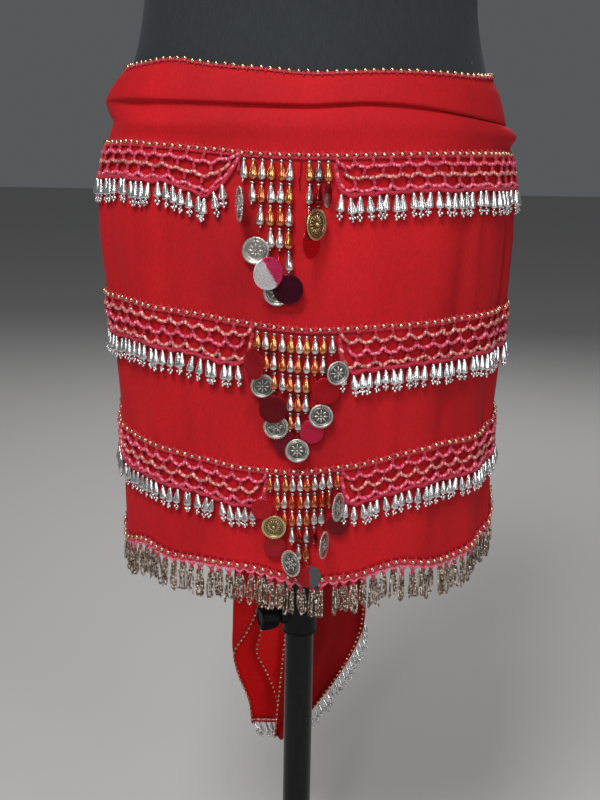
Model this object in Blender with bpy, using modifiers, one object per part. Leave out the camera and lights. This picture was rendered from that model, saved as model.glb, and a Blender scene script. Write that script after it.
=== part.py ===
"""A beaded hip scarf tied round a limbless dress form that stands on a pole.

Metres, +Z up, the front faces -Y. The origin is on the floor under the pole.
Angles run round the body in degrees: 0 is the front centre, +90 the +X side, 180 the back.
"""

import math
from collections import namedtuple

import bmesh
import bpy
import numpy as np
from mathutils import Matrix, Quaternion, Vector

# Driving dimensions of the stand
BASE_RADIUS = 0.195
BASE_RIM = 0.009
HUB_RADIUS = 0.021
HUB_HEIGHT = 0.032
SOCKET_FLOOR = 0.008
POLE_RADIUS = 0.0135
POLE_SIDES = 16
POLE_CLEARANCE = 0.0004
COLLAR_RADIUS = 0.0160
COLLAR_FLANGE = 0.045
KNOB_RADIUS = 0.0130
KNOB_LENGTH = 0.0190
KNOB_START = 0.0215
KNOB_TURN = math.radians(-160)
KNOB_LOBES = 3
KNOB_LOBE_DEPTH = 0.14
KNOB_SIDES = 18
KNOB_SECTIONS = ((0.0, 0.62), (0.15, 0.92), (0.75, 1.0), (0.95, 0.86), (1.0, 0.70))
SCREW_RADIUS = 0.0038
BOSS_RADII = (0.0085, 0.0075)
BOSS_LENGTH = 0.006
BORE_PLAY = 0.002
BASE_SIDES = 30
CAP_SIDES = 28

MM = 0.001

# Gaps between pieces
SEAM = 0.0003
TRIM_SEAM = 0.0008
HEM_SEAM = 0.0014
SIDE_GAP = 0.0009

# Heights above the floor. The first bead row is the level that the tables count from.
HIP_ROW = 0.800
FORM_BOTTOM = HIP_ROW - 0.335
FORM_TOP = HIP_ROW + 0.600
BORE_TOP = HIP_ROW + 0.020
POLE_TOP = HIP_ROW
COLLAR_BOTTOM = HIP_ROW - 0.445
KNOB_HEIGHT = HIP_ROW - 0.427

# The scarf. Behind the sides it narrows, and its levels draw together into gathers at the knot
WALL = 0.0015
LEAST_OUT = 0.0023
BACK_OUT = 4.5
SIDE_SEAM = 88.0
COLUMN_STEP = 7.0
BACK_COLUMNS = 12
TRIM_LIFTS = {"tier_1": 0.0010, "tier_2": 0.0014, "tier_3": 0.0014}
NARROW_START = 90.0
EVEN_START = 120.0
KNOT_ANGLE = 168.0
GATHER_START = 100.0
GATHER_FULL = 160.0
GATHERED_HEIGHT = 0.062
PLEAT_DEPTH = 0.0070
LIFT_START = 145.0
GATHER_LIFT = 0.0130
FOLD_LEVELS = 7
FOLD_SHARE_ABOVE = 0.2

# The knot: half sizes, how square it is, and the waves of the strands that cross on it
KNOT_HEIGHT = HIP_ROW - 0.100
KNOT_SIZE = (0.0350, 0.0220, 0.0290)
KNOT_CENTRE = 0.1570
KNOT_SQUARENESS = 3.2
KNOT_WAVES = 5.7
KNOT_WAVE_DEPTH = 0.10
KNOT_SLANT = 0.35

# Lace, drops and tassels
REPEAT = 0.0160
LACE_TOP = 0.0012
LACE_DEPTH = 0.0340
LACE_WALL = 0.0012
LACE_END = 117.0
GAP_HALF_WIDTH = 0.36
GAP_ROWS = (0.0115, 0.0225)
GAP_HALF_HEIGHT = 0.0048
STRIP_HEIGHT = 0.0026
STRIP_WALL = 0.0014
TRIM_LEVEL = 6
DROP_WIDTH = 0.0060
DROP_ROOT_SHARE = 0.84
DROP_DEPTH = 0.0036
DROP_SHOULDER = 0.62
DROP_LENGTH = 0.0200
TASSEL_PITCH = 0.0120
TASSEL_WIDTH = 0.0062
TASSEL_ROOT_SHARE = 0.60
TASSEL_DEPTH = 0.0034
TASSEL_SHOULDER = 0.80
TASSEL_LENGTH = 0.0300
TASSEL_STRIP_HEIGHT = 0.0040
TASSEL_INWARD = 0.4

# Bead columns: pears on a thread, in one row per pitch
PEAR_SHOULDER_SHARE = 0.65
PEAR_END_SHARE = 0.90
PEAR_WIDTH_SHARE = 0.76
PEAR_DEPTH = 0.0038
THREAD_WIDTH = 0.0016
THREAD_DEPTH = 0.0014
THREAD_END_SHARE = 0.94
COLUMN_ROOT_HALF = 0.0022
COLUMN_LIFT = 0.0009

# Body sections: height from the hip row, half width, depth in front, depth behind
Section = namedtuple("Section", "height half_width front back")
BODY = (
    Section(-0.335, 0.1545, 0.097, 0.108),
    Section(-0.290, 0.1570, 0.100, 0.114),
    Section(-0.230, 0.1595, 0.103, 0.120),
    Section(-0.160, 0.1650, 0.107, 0.127),
    Section(-0.100, 0.1715, 0.110, 0.131),
    Section(-0.050, 0.1735, 0.111, 0.129),
    Section(0.000, 0.1685, 0.110, 0.121),
    Section(0.045, 0.1580, 0.105, 0.108),
    Section(0.085, 0.1460, 0.098, 0.094),
    Section(0.125, 0.1400, 0.093, 0.087),
    Section(0.180, 0.1435, 0.098, 0.088),
    Section(0.240, 0.1510, 0.112, 0.093),
    Section(0.295, 0.1580, 0.122, 0.099),
    Section(0.345, 0.1620, 0.113, 0.103),
    Section(0.395, 0.1690, 0.091, 0.101),
    Section(0.435, 0.1720, 0.073, 0.093),
    Section(0.462, 0.1630, 0.061, 0.081),
    Section(0.484, 0.1380, 0.053, 0.069),
    Section(0.502, 0.1030, 0.047, 0.058),
    Section(0.520, 0.0720, 0.044, 0.051),
    Section(0.545, 0.0575, 0.044, 0.048),
    Section(0.600, 0.0550, 0.045, 0.048),
)
BODY_SIDES = 22

# Height in millimetres of each bead row from the hip row, across the front. The band above
# tier 1 hangs over a deep crease, and the cloth comes out again at its lip
ROW_STATIONS = (-90, -75, -60, -45, -30, -15, 0, 15, 30, 45, 60, 75, 90)
ROWS = {
    "top": (66, 69, 71, 73.5, 69, 66, 63, 65, 66, 65.5, 65, 66, 67),
    "crease": (43, 43, 42.5, 41.5, 40.5, 39.5, 39, 41.5, 40, 35.5, 31, 28, 26),
    "lip": (31, 31, 30, 30.5, 32, 33, 33, 36, 34.5, 31.5, 28, 25, 23),
    "tier_1": (6, 7, 8, 7, 4.5, 1.5, 0.5, 1.5, 3, 3.5, 3.5, 3, 1),
    "tier_2": (-117, -120, -121, -124, -127, -132, -136, -134, -132, -129.5, -128, -126, -124),
    "tier_3": (-224, -236, -242, -246, -250, -255, -256, -250, -242, -237, -235.5, -229, -218),
    "hem": (-330, -341, -336, -341, -341, -343, -352, -348, -339, -342, -336, -326, -303),
}
BEAD_ROWS = ("top", "tier_1", "tier_2", "tier_3", "hem")

# How far the cloth stands off the body, in millimetres, at levels from the hem up: at the left
# side, before it, in the middle, before the right side and at it
Level = namedtuple("Level", "above below share left left_front middle right_front right")
LEVELS = (
    Level("tier_3", "hem", 1.00, 6.0, 5.0, 4.5, 13.0, 16.0),
    Level("tier_3", "hem", 0.50, 4.0, 3.5, 3.5, 9.5, 12.0),
    Level("tier_3", "hem", 0.00, 4.0, 3.5, 2.8, 8.0, 10.0),
    Level("tier_2", "tier_3", 0.50, 3.5, 3.0, 2.8, 7.0, 9.0),
    Level("tier_2", "tier_3", 0.00, 4.0, 3.5, 2.6, 5.5, 7.0),
    Level("tier_1", "tier_2", 0.50, 6.0, 5.0, 3.0, 4.5, 5.0),
    Level("tier_1", "tier_2", 0.00, 5.0, 4.0, 2.8, 4.0, 4.5),
    Level("lip", "tier_1", 0.70, 4.0, 4.5, 4.6, 5.5, 7.0),
    Level("lip", "tier_1", 0.32, 2.6, 6.5, 7.5, 8.5, 14.0),
    Level("lip", "tier_1", 0.00, 9.0, 5.0, 6.0, 6.5, 10.0),
    Level("crease", "lip", 0.35, 14.5, 2.4, 2.3, 2.4, 3.0),
    Level("top", "crease", 0.97, 14.5, 8.0, 7.5, 6.5, 6.5),
    Level("top", "crease", 0.40, 10.5, 7.0, 6.0, 6.0, 6.5),
    Level("top", "crease", 0.00, 3.0, 2.6, 2.4, 2.8, 3.0),
)
SIDE_STATIONS = (-180, -90, -60, 0, 60, 90, 180)

# Soft upright folds below the roll: angle, half width, height in millimetres
Fold = namedtuple("Fold", "angle half_width rise")
FOLDS = (
    Fold(-74, 10, 2.5),
    Fold(-48, 9, 1.6),
    Fold(-22, 8, 1.2),
    Fold(16, 8, 1.8),
    Fold(38, 9, 2.2),
    Fold(60, 10, 2.8),
    Fold(82, 9, 2.5),
)

# Bead columns at the centre of each tier, from the left: pears in the column, its length and
# the width of the disc that ends it, in millimetres or 0, the layer that disc hangs in, how far
# it hangs to one side, in millimetres, and how many degrees it is turned. A row of zeros is an
# empty place
Strand = namedtuple("Strand", "pears reach disc layer aside turn")
CLUSTERS = {
    "tier_1": (
        Strand(1, 25, 26, 0, 0, 66),
        Strand(2, 40, 0, 0, 0, 0),
        Strand(3, 63, 22, 0, -3, 0),
        Strand(4, 80, 25, 2, 0, 0),
        Strand(4, 101, 22, 0, -1.5, 0),
        Strand(5, 95, 24, 1, 0, 0),
        Strand(0, 0, 0, 0, 0, 0),
        Strand(3, 58, 26, 0, 2, -58),
        Strand(2, 41, 25, 0, 0, -50),
        Strand(1, 23, 18, 0, -1, -62),
    ),
    "tier_2": (
        Strand(1, 21, 25, 0, 0, 50),
        Strand(2, 39, 20, 0, -2.7, 0),
        Strand(3, 56, 22, 2, 0, 0),
        Strand(3, 69, 20, 1, -4.5, 0),
        Strand(5, 84, 20, 0, -4, 0),
        Strand(5, 88, 20, 1, 0, 0),
        Strand(4, 70, 20, 0, 2.4, 0),
        Strand(2, 61, 20, 1, 2.4, 0),
        Strand(2, 38, 22, 1, 0, 0),
        Strand(1, 24, 19, 0, 3.5, 0),
    ),
    "tier_3": (
        Strand(1, 22, 18, 2, -4, 0),
        Strand(2, 38, 20, 1, -2.4, 0),
        Strand(3, 56, 19, 0, -5, 0),
        Strand(4, 65, 22, 1, 0, 45),
        Strand(5, 77, 0, 0, 0, 0),
        Strand(5, 80, 18, 0, 3.6, 0),
        Strand(4, 61, 0, 0, 0, 0),
        Strand(3, 53, 22, 0, 0, -66),
        Strand(2, 38, 17, 0, 3.6, 0),
        Strand(1, 23, 23, 0, 1.2, -58),
    ),
}
# Middle and pitch of the columns, the pitch of the pears down them, and the left and right ends
# of the gap in the lace
ClusterPlace = namedtuple("ClusterPlace", "middle pitch pear_pitch")
CLUSTER_PLACES = {
    "tier_1": ClusterPlace(-0.0155, 0.0075, 0.0180),
    "tier_2": ClusterPlace(-0.0060, 0.0065, 0.0165),
    "tier_3": ClusterPlace(0.0020, 0.0058, 0.0145),
}
LACE_GAPS = {"tier_1": (-0.053, 0.024), "tier_2": (-0.045, 0.032), "tier_3": (-0.030, 0.034)}
DISC_WALL = 0.0012
DISC_FORWARD = 0.0052
DISC_SIDES = 10

# Tails from the knot down: height from the hip row, left edge, right edge, distance behind
TailRow = namedtuple("TailRow", "height left right behind")
TAIL_RIGHT = (
    TailRow(-0.1293, 0.003, 0.020, 0.156),
    TailRow(-0.200, 0.002, 0.036, 0.160),
    TailRow(-0.300, -0.001, 0.053, 0.158),
    TailRow(-0.410, -0.006, 0.064, 0.156),
    TailRow(-0.520, -0.014, 0.069, 0.155),
    TailRow(-0.570, -0.018, 0.045, 0.155),
    TailRow(-0.615, -0.022, 0.014, 0.155),
    TailRow(-0.645, -0.024, -0.010, 0.155),
)
TAIL_LEFT = (
    TailRow(-0.1293, -0.021, -0.004, 0.158),
    TailRow(-0.200, -0.041, -0.005, 0.166),
    TailRow(-0.300, -0.058, -0.007, 0.169),
    TailRow(-0.410, -0.068, -0.009, 0.170),
    TailRow(-0.490, -0.072, -0.010, 0.170),
    TailRow(-0.550, -0.072, -0.010, 0.170),
    TailRow(-0.600, -0.056, -0.012, 0.170),
    TailRow(-0.632, -0.050, -0.014, 0.170),
)
TAIL_FOLD = 0.0045
TAIL_STEPS_ACROSS = 8
TAIL_STEPS_DOWN = 12

COLOURS = {
    "chiffon": ((0.50, 0.012, 0.022), 0.75, 0.0),
    "crochet": ((0.55, 0.02, 0.09), 0.70, 0.0),
    "silver_beads": ((0.55, 0.55, 0.55), 0.30, 0.9),
    "seed_beads": ((0.55, 0.46, 0.38), 0.30, 0.5),
    "coloured_beads": ((0.62, 0.30, 0.16), 0.30, 0.8),
    "coins": ((0.60, 0.52, 0.42), 0.30, 1.0),
    "jersey": ((0.030, 0.034, 0.038), 0.85, 0.0),
    "black_metal": ((0.006, 0.006, 0.006), 0.18, 0.6),
    "black_plastic": ((0.008, 0.008, 0.008), 0.35, 0.0),
}


def column(table, name):
    return [getattr(row, name) for row in table]


def spline(x, xs, ys):
    """A smooth curve through the points (xs, ys), read at x."""
    xs, ys = np.asarray(xs, float), np.asarray(ys, float)
    slopes = np.gradient(ys, xs)
    x = min(max(x, xs[0]), xs[-1])
    i = min(int(np.searchsorted(xs, x, side="right")) - 1, len(xs) - 2)
    gap = xs[i + 1] - xs[i]
    t = (x - xs[i]) / gap
    start = ys[i] * (1 + 2 * t) + gap * slopes[i] * t
    end = ys[i + 1] * (3 - 2 * t) - gap * slopes[i + 1] * (1 - t)
    return float(start * (1 - t) ** 2 + end * t**2)


def smooth(t):
    t = min(max(t, 0.0), 1.0)
    return t * t * (3 - 2 * t)


def body_size(height):
    """Half width, front depth and back depth of the body at a height above the floor."""
    heights = column(BODY, "height")
    names = ("half_width", "front", "back")
    return [spline(height - HIP_ROW, heights, column(BODY, name)) for name in names]


def around(angle, height, out):
    """The point at this angle and height, this far out of the body."""
    turn = math.radians(angle)
    half_width, front, back = body_size(height)
    depth = front if math.cos(turn) > 0 else back
    return Vector(((half_width + out) * math.sin(turn), -(depth + out) * math.cos(turn), height))


def knot_end(height, out):
    """The angle at which the gathered cloth meets the side of the knot."""
    reach = body_size(height)[0] + out
    return 180.0 - math.degrees(math.asin((KNOT_SIZE[0] + 2 * SEAM) / reach))


def row_height(name, angle):
    """Height of a bead row, which runs up or down to the knot behind the sides."""
    side = spline(angle, ROW_STATIONS, ROWS[name]) * MM
    place = 0.5
    if name in BEAD_ROWS:
        place -= BEAD_ROWS.index(name) / (len(BEAD_ROWS) - 1)
    at_knot = KNOT_HEIGHT - HIP_ROW + place * GATHERED_HEIGHT
    share = smooth((abs(angle) - NARROW_START) / (KNOT_ANGLE - NARROW_START))
    return HIP_ROW + side + (at_knot - side) * share


def fold_rise(angle):
    """Height of the soft upright folds at this angle."""
    total = 0.0
    for fold in FOLDS:
        distance = abs(angle - fold.angle) / fold.half_width
        total += fold.rise * MM * (1 - smooth(distance))
    return total


def level_height(index, angle):
    level = LEVELS[index]
    top, bottom = row_height(level.above, angle), row_height(level.below, angle)
    at_knot = KNOT_HEIGHT + (index / (len(LEVELS) - 1) - 0.5) * GATHERED_HEIGHT
    even = smooth((abs(angle) - EVEN_START) / (KNOT_ANGLE - EVEN_START))
    return (top + (bottom - top) * level.share) * (1 - even) + at_knot * even


def level_out(index, angle):
    """How far the outer face of the cloth stands off the body on a level."""
    level = LEVELS[index]
    loose = spline(angle, SIDE_STATIONS, (BACK_OUT, *level[3:], BACK_OUT)) * MM
    folds = fold_rise(angle) * (1.0 if index < FOLD_LEVELS else FOLD_SHARE_ABOVE)
    gather = smooth((abs(angle) - GATHER_START) / (GATHER_FULL - GATHER_START))
    pleat = PLEAT_DEPTH * gather * (index % 2)
    lift = GATHER_LIFT * smooth((abs(angle) - LIFT_START) / (KNOT_ANGLE - LIFT_START))
    return max(loose, LEAST_OUT) + folds + pleat + lift


def cloth_out(angle, height):
    """How far the outer face of the cloth stands off the body at any height."""
    heights = [level_height(i, angle) for i in range(len(LEVELS))]
    outs = [level_out(i, angle) for i in range(len(LEVELS))]
    return float(np.interp(height, heights, outs))


def cloth_point(angle, index):
    return around(angle, level_height(index, angle), level_out(index, angle))


def material(name):
    found = bpy.data.materials.get(name)
    if found:
        return found
    colour, roughness, metallic = COLOURS[name]
    made = bpy.data.materials.new(name)
    made.use_nodes = True
    shader = made.node_tree.nodes["Principled BSDF"]
    shader.inputs["Base Color"].default_value = (*colour, 1)
    shader.inputs["Roughness"].default_value = roughness
    shader.inputs["Metallic"].default_value = metallic
    return made


def add_object(name, mesh, finish, parent):
    made = bpy.data.objects.new(name, mesh)
    mesh.materials.append(material(finish))
    bpy.data.collections["hip_scarf"].objects.link(made)
    made.parent = parent
    mesh.shade_smooth()
    mesh.set_sharp_from_angle(angle=math.radians(50))
    return made


def mesh_of(name, work):
    """A mesh from a bmesh, with its faces pointing out where it is closed."""
    mesh = bpy.data.meshes.new(name)
    work.to_mesh(mesh)
    work.free()
    return mesh


def thicken(made, thickness):
    wall = made.modifiers.new("wall", "SOLIDIFY")
    wall.thickness = thickness
    wall.offset = -1.0


def sheet(name, across, down, place, thickness, finish, parent):
    """A cloth wall: a grid whose points are put where place(u, v) says, given a thickness."""
    work = bmesh.new()
    bmesh.ops.create_grid(work, x_segments=across, y_segments=down, size=0.5)
    for vert in work.verts:
        vert.co = place(vert.co.x + 0.5, vert.co.y + 0.5)
    made = add_object(name, mesh_of(name, work), finish, parent)
    thicken(made, thickness)
    return made


def turned(name, profile, steps, finish, parent, ring=False):
    """A turned piece from a profile of (radius, height) points, run down its outer side."""
    work = bmesh.new()
    verts = [work.verts.new((radius, 0, height)) for radius, height in profile]
    for first, second in zip(verts, verts[1:]):
        work.edges.new((first, second))
    if ring:
        work.edges.new((verts[-1], verts[0]))
    made = add_object(name, mesh_of(name, work), finish, parent)
    screw = made.modifiers.new("turn", "SCREW")
    screw.steps = steps
    screw.render_steps = steps
    screw.use_merge_vertices = True
    screw.merge_threshold = 0.0001
    return made


def cylinder(name, radius, low, high, sides, finish, parent):
    work = bmesh.new()
    bmesh.ops.create_cone(
        work, cap_ends=True, segments=sides, radius1=radius, radius2=radius, depth=high - low
    )
    bmesh.ops.translate(work, vec=(0, 0, (low + high) / 2), verts=work.verts)
    return add_object(name, mesh_of(name, work), finish, parent)


def combine(target, name, operation, radii, place, length, turn=(0, 0, 0)):
    """Cut a round hole in target, or join a round boss to it, with a hidden helper solid."""
    work = bmesh.new()
    bmesh.ops.create_cone(
        work, cap_ends=True, segments=POLE_SIDES, radius1=radii[0], radius2=radii[1], depth=length
    )
    helper = bpy.data.objects.new(name, mesh_of(name, work))
    bpy.data.collections["cutters"].objects.link(helper)
    helper.location = place
    helper.rotation_euler = turn
    helper.hide_render = True
    helper.display_type = "WIRE"
    change = target.modifiers.new(name, "BOOLEAN")
    change.operation = operation
    change.object = helper


def make_base(parent):
    bore = POLE_RADIUS + POLE_CLEARANCE
    profile = (
        (0, SOCKET_FLOOR),
        (bore, SOCKET_FLOOR),
        (bore, HUB_HEIGHT),
        (HUB_RADIUS - 0.002, HUB_HEIGHT),
        (HUB_RADIUS, HUB_HEIGHT - 0.002),
        (HUB_RADIUS + 0.002, BASE_RIM + 0.009),
        (HUB_RADIUS + 0.010, BASE_RIM + 0.005),
        (BASE_RADIUS * 0.92, BASE_RIM),
        (BASE_RADIUS * 0.99, BASE_RIM * 0.7),
        (BASE_RADIUS, BASE_RIM * 0.35),
        (BASE_RADIUS, 0),
        (0, 0),
    )
    turned("base", profile, BASE_SIDES, "black_metal", parent)


def make_collar(parent):
    """The flanged sleeve under the form, with the boss that the locking screw runs in."""
    bore = POLE_RADIUS + POLE_CLEARANCE
    top = FORM_BOTTOM - SEAM
    profile = (
        (bore, top),
        (COLLAR_FLANGE - 0.001, top),
        (COLLAR_FLANGE, top - 0.001),
        (COLLAR_FLANGE, top - 0.004),
        (COLLAR_RADIUS + 0.004, top - 0.006),
        (COLLAR_RADIUS, top - 0.012),
        (COLLAR_RADIUS, COLLAR_BOTTOM + 0.001),
        (COLLAR_RADIUS - 0.001, COLLAR_BOTTOM),
        (bore, COLLAR_BOTTOM),
    )
    collar = turned("collar", profile, POLE_SIDES, "black_metal", parent, ring=True)
    direction = Vector((math.cos(KNOB_TURN), math.sin(KNOB_TURN), 0))
    level = Vector((0, 0, KNOB_HEIGHT))
    tilt = (0, math.radians(90), KNOB_TURN)
    place = direction * (COLLAR_RADIUS + BOSS_LENGTH / 4) + level
    combine(collar, "boss", "UNION", BOSS_RADII, place, BOSS_LENGTH, tilt)
    through = bore + BOSS_RADII[0]
    radius = SCREW_RADIUS + POLE_CLEARANCE
    place = direction * (POLE_RADIUS + through / 2) + level
    combine(collar, "screw_hole_cutter", "DIFFERENCE", (radius, radius), place, through, tilt)


def make_knob(parent):
    """The locking knob: three lobes on a screw that reaches in towards the pole."""
    start = POLE_RADIUS + 2 * POLE_CLEARANCE
    sections = [(start, SCREW_RADIUS, 0.0), (KNOB_START, SCREW_RADIUS, 0.0)]
    for along, scale in KNOB_SECTIONS:
        sections.append((KNOB_START + along * KNOB_LENGTH, KNOB_RADIUS * scale, KNOB_LOBE_DEPTH))
    work = bmesh.new()
    rings = []
    for z, radius, depth in sections:
        ring = []
        for i in range(KNOB_SIDES):
            turn = 2 * math.pi * i / KNOB_SIDES
            reach = radius * (1 - depth + depth * math.cos(KNOB_LOBES * turn))
            ring.append(work.verts.new((reach * math.cos(turn), reach * math.sin(turn), z)))
        rings.append(ring)
    for low, high in zip(rings, rings[1:]):
        for i in range(KNOB_SIDES):
            j = (i + 1) % KNOB_SIDES
            work.faces.new((low[i], low[j], high[j], high[i]))
    work.faces.new(rings[0][::-1])
    work.faces.new(rings[-1])
    knob = add_object("knob", mesh_of("knob", work), "black_plastic", parent)
    knob.rotation_euler = (0, math.radians(90), 0)


def make_torso(parent):
    """The form: a loft through the body sections, with the bore that the pole slides in."""
    work = bmesh.new()
    rings = []
    turns = [360.0 * i / BODY_SIDES for i in range(BODY_SIDES)]
    for rise in column(BODY, "height"):
        rings.append([work.verts.new(around(turn, HIP_ROW + rise, 0.0)) for turn in turns])
    for low, high in zip(rings, rings[1:]):
        for i in range(BODY_SIDES):
            j = (i + 1) % BODY_SIDES
            work.faces.new((low[i], low[j], high[j], high[i]))
    work.faces.new(rings[0])
    work.faces.new(rings[-1])
    bmesh.ops.recalc_face_normals(work, faces=work.faces)
    torso = add_object("dress_form", mesh_of("dress_form", work), "jersey", parent)
    length = 1.1 * (BORE_TOP - FORM_BOTTOM)
    radius = POLE_RADIUS + BORE_PLAY
    place = (0, 0, BORE_TOP - length / 2)
    combine(torso, "form_bore_cutter", "DIFFERENCE", (radius, radius), place, length)


def make_neck_cap(parent):
    half_width, front, back = body_size(FORM_TOP)
    low = FORM_TOP + SEAM
    profile = (
        (0, low + 0.012),
        (half_width * 0.55, low + 0.011),
        (half_width * 0.93, low + 0.007),
        (half_width * 1.02, low + 0.003),
        (half_width * 1.02, low),
        (0, low),
    )
    cap = turned("neck_cap", profile, CAP_SIDES, "black_plastic", parent)
    cap.scale = (1, (front + back) / 2 / half_width, 1)
    cap.location = (0, (back - front) / 2, 0)


def make_wraps(parent):
    """The scarf's three stretches round the form, one front and two back."""
    top = len(LEVELS) - 1
    depth = BODY[0].front + LEAST_OUT
    spacing = math.degrees(SIDE_GAP / depth)

    def front_place(u, v):
        angle = (2 * u - 1) * SIDE_SEAM
        return cloth_point(angle, round(v * top))

    across = round(2 * SIDE_SEAM / COLUMN_STEP)
    sheet("wrap_front", across, top, front_place, WALL, "chiffon", parent)
    for side, name in ((-1, "wrap_back_left"), (1, "wrap_back_right")):

        def back_place(u, v, side=side):
            index = round(v * top)
            end = knot_end(level_height(index, KNOT_ANGLE), level_out(index, KNOT_ANGLE))
            share = u if side > 0 else 1 - u
            start = SIDE_SEAM + spacing
            return cloth_point(side * (start + (end - start) * share), index)

        sheet(name, BACK_COLUMNS, top, back_place, WALL, "chiffon", parent)


def make_knot(parent):
    """The tied knot: a rounded lump with the strand that crosses over its front."""
    work = bmesh.new()
    bmesh.ops.create_uvsphere(work, u_segments=16, v_segments=11, radius=1.0)
    power = KNOT_SQUARENESS
    for vert in work.verts:
        way = vert.co.normalized()
        length = sum(abs(c) ** power for c in way) ** (-1 / power)
        wave = KNOT_WAVE_DEPTH * math.cos(KNOT_WAVES * (way.x + KNOT_SLANT * way.z))
        bulge = 1 + wave if way.y > 0 else 1.0
        sizes = (KNOT_SIZE[0], KNOT_SIZE[1] * bulge, KNOT_SIZE[2])
        vert.co = Vector(c * length * size for c, size in zip(way, sizes))
        vert.co += Vector((0, KNOT_CENTRE, KNOT_HEIGHT))
    add_object("knot", mesh_of("knot", work), "chiffon", parent)


def tail_point(table, across, down, folds):
    """A point on a tail: across from its left edge to its right, down from the knot."""
    heights = column(table, "height")[::-1]
    height = heights[-1] + (heights[0] - heights[-1]) * down
    left, right, behind = (
        spline(height, heights, column(table, name)[::-1])
        for name in ("left", "right", "behind")
    )
    wave = TAIL_FOLD * math.sin(2 * math.pi * folds * across) * smooth(down * 4)
    return Vector((left + (right - left) * across, behind + wave, HIP_ROW + height))


def make_tails(parent):
    for name, table, folds in (("tail_right", TAIL_RIGHT, 1.5), ("tail_left", TAIL_LEFT, 1.0)):

        def place(u, v, table=table, folds=folds):
            return tail_point(table, 1 - u, 1 - v, folds)

        sheet(name, TAIL_STEPS_ACROSS, TAIL_STEPS_DOWN, place, WALL, "chiffon", parent)


def stations(row, start, end, pitch):
    """Angles along a bead row, one pitch of real length apart, from start to end."""
    angles = np.linspace(start, end, 400)
    points = [around(a, row_height(row, a), level_out(TRIM_LEVEL, a)) for a in angles]
    steps = [(b - a).length for a, b in zip(points, points[1:])]
    lengths = np.concatenate([[0], np.cumsum(steps)])
    count = int(lengths[-1] / pitch)
    return [float(np.interp(k * pitch, lengths, angles)) for k in range(count + 1)]


def over_cloth(angles, row, s, drop, out):
    """A point over the cloth, s repeats along a row and this far below it."""
    angle = float(np.interp(s, range(len(angles)), angles))
    height = row_height(row, angle) - drop
    return around(angle, height, cloth_out(angle, height) + TRIM_LIFTS[row] + out)


def face(work, points, flip):
    work.faces.new(points[::-1] if flip else points)


def make_lace(row, side, angles, parent):
    """A lace band: two staggered rows of four-sided gaps between plain edges."""
    work = bmesh.new()
    count = len(angles) - 1
    flip = side < 0

    def vert(s, drop):
        return work.verts.new(over_cloth(angles, row, s, drop, LACE_WALL))

    def gap(s, drop):
        return [
            vert(s - GAP_HALF_WIDTH, drop),
            vert(s, drop - GAP_HALF_HEIGHT),
            vert(s + GAP_HALF_WIDTH, drop),
            vert(s, drop + GAP_HALF_HEIGHT),
        ]

    top = [vert(k, LACE_TOP) for k in range(count + 1)]
    foot = [vert(min(max(k - 0.5, 0), count), LACE_DEPTH) for k in range(count + 2)]
    upper = [gap(k + 0.5, GAP_ROWS[0]) for k in range(count)]
    lower = [gap(k + 1, GAP_ROWS[1]) for k in range(count - 1)]
    low_ends = [vert(0, GAP_ROWS[1]), vert(count, GAP_ROWS[1])]
    for k in range(count):
        left, peak, right, base = upper[k]
        face(work, (top[k + 1], top[k], left, peak, right), flip)
        before = lower[k - 1] if k > 0 else None
        after = lower[k] if k < count - 1 else None
        if after:
            face(work, (right, upper[k + 1][0], top[k + 1]), flip)
            face(work, (after[1], upper[k + 1][0], right), flip)
            face(work, (base, after[0], after[1], right), flip)
        else:
            face(work, (right, base, low_ends[1], top[count]), flip)
        if before:
            face(work, (left, before[1], before[2], base), flip)
        else:
            face(work, (left, top[0], low_ends[0], base), flip)
        inner = before[2] if before else low_ends[0]
        outer = after[0] if after else low_ends[1]
        face(work, (base, inner, outer), flip)
        face(work, (outer, inner, foot[k + 1]), flip)
    for k, (left, peak, right, base) in enumerate(lower):
        face(work, (foot[k + 2], right, base, left, foot[k + 1]), flip)
    face(work, (foot[1], low_ends[0], foot[0]), flip)
    face(work, (foot[count + 1], low_ends[1], foot[count]), flip)
    name = f"lace_{row}_{'left' if side < 0 else 'right'}"
    made = add_object(name, mesh_of(name, work), "crochet", parent)
    thicken(made, LACE_WALL)


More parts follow.
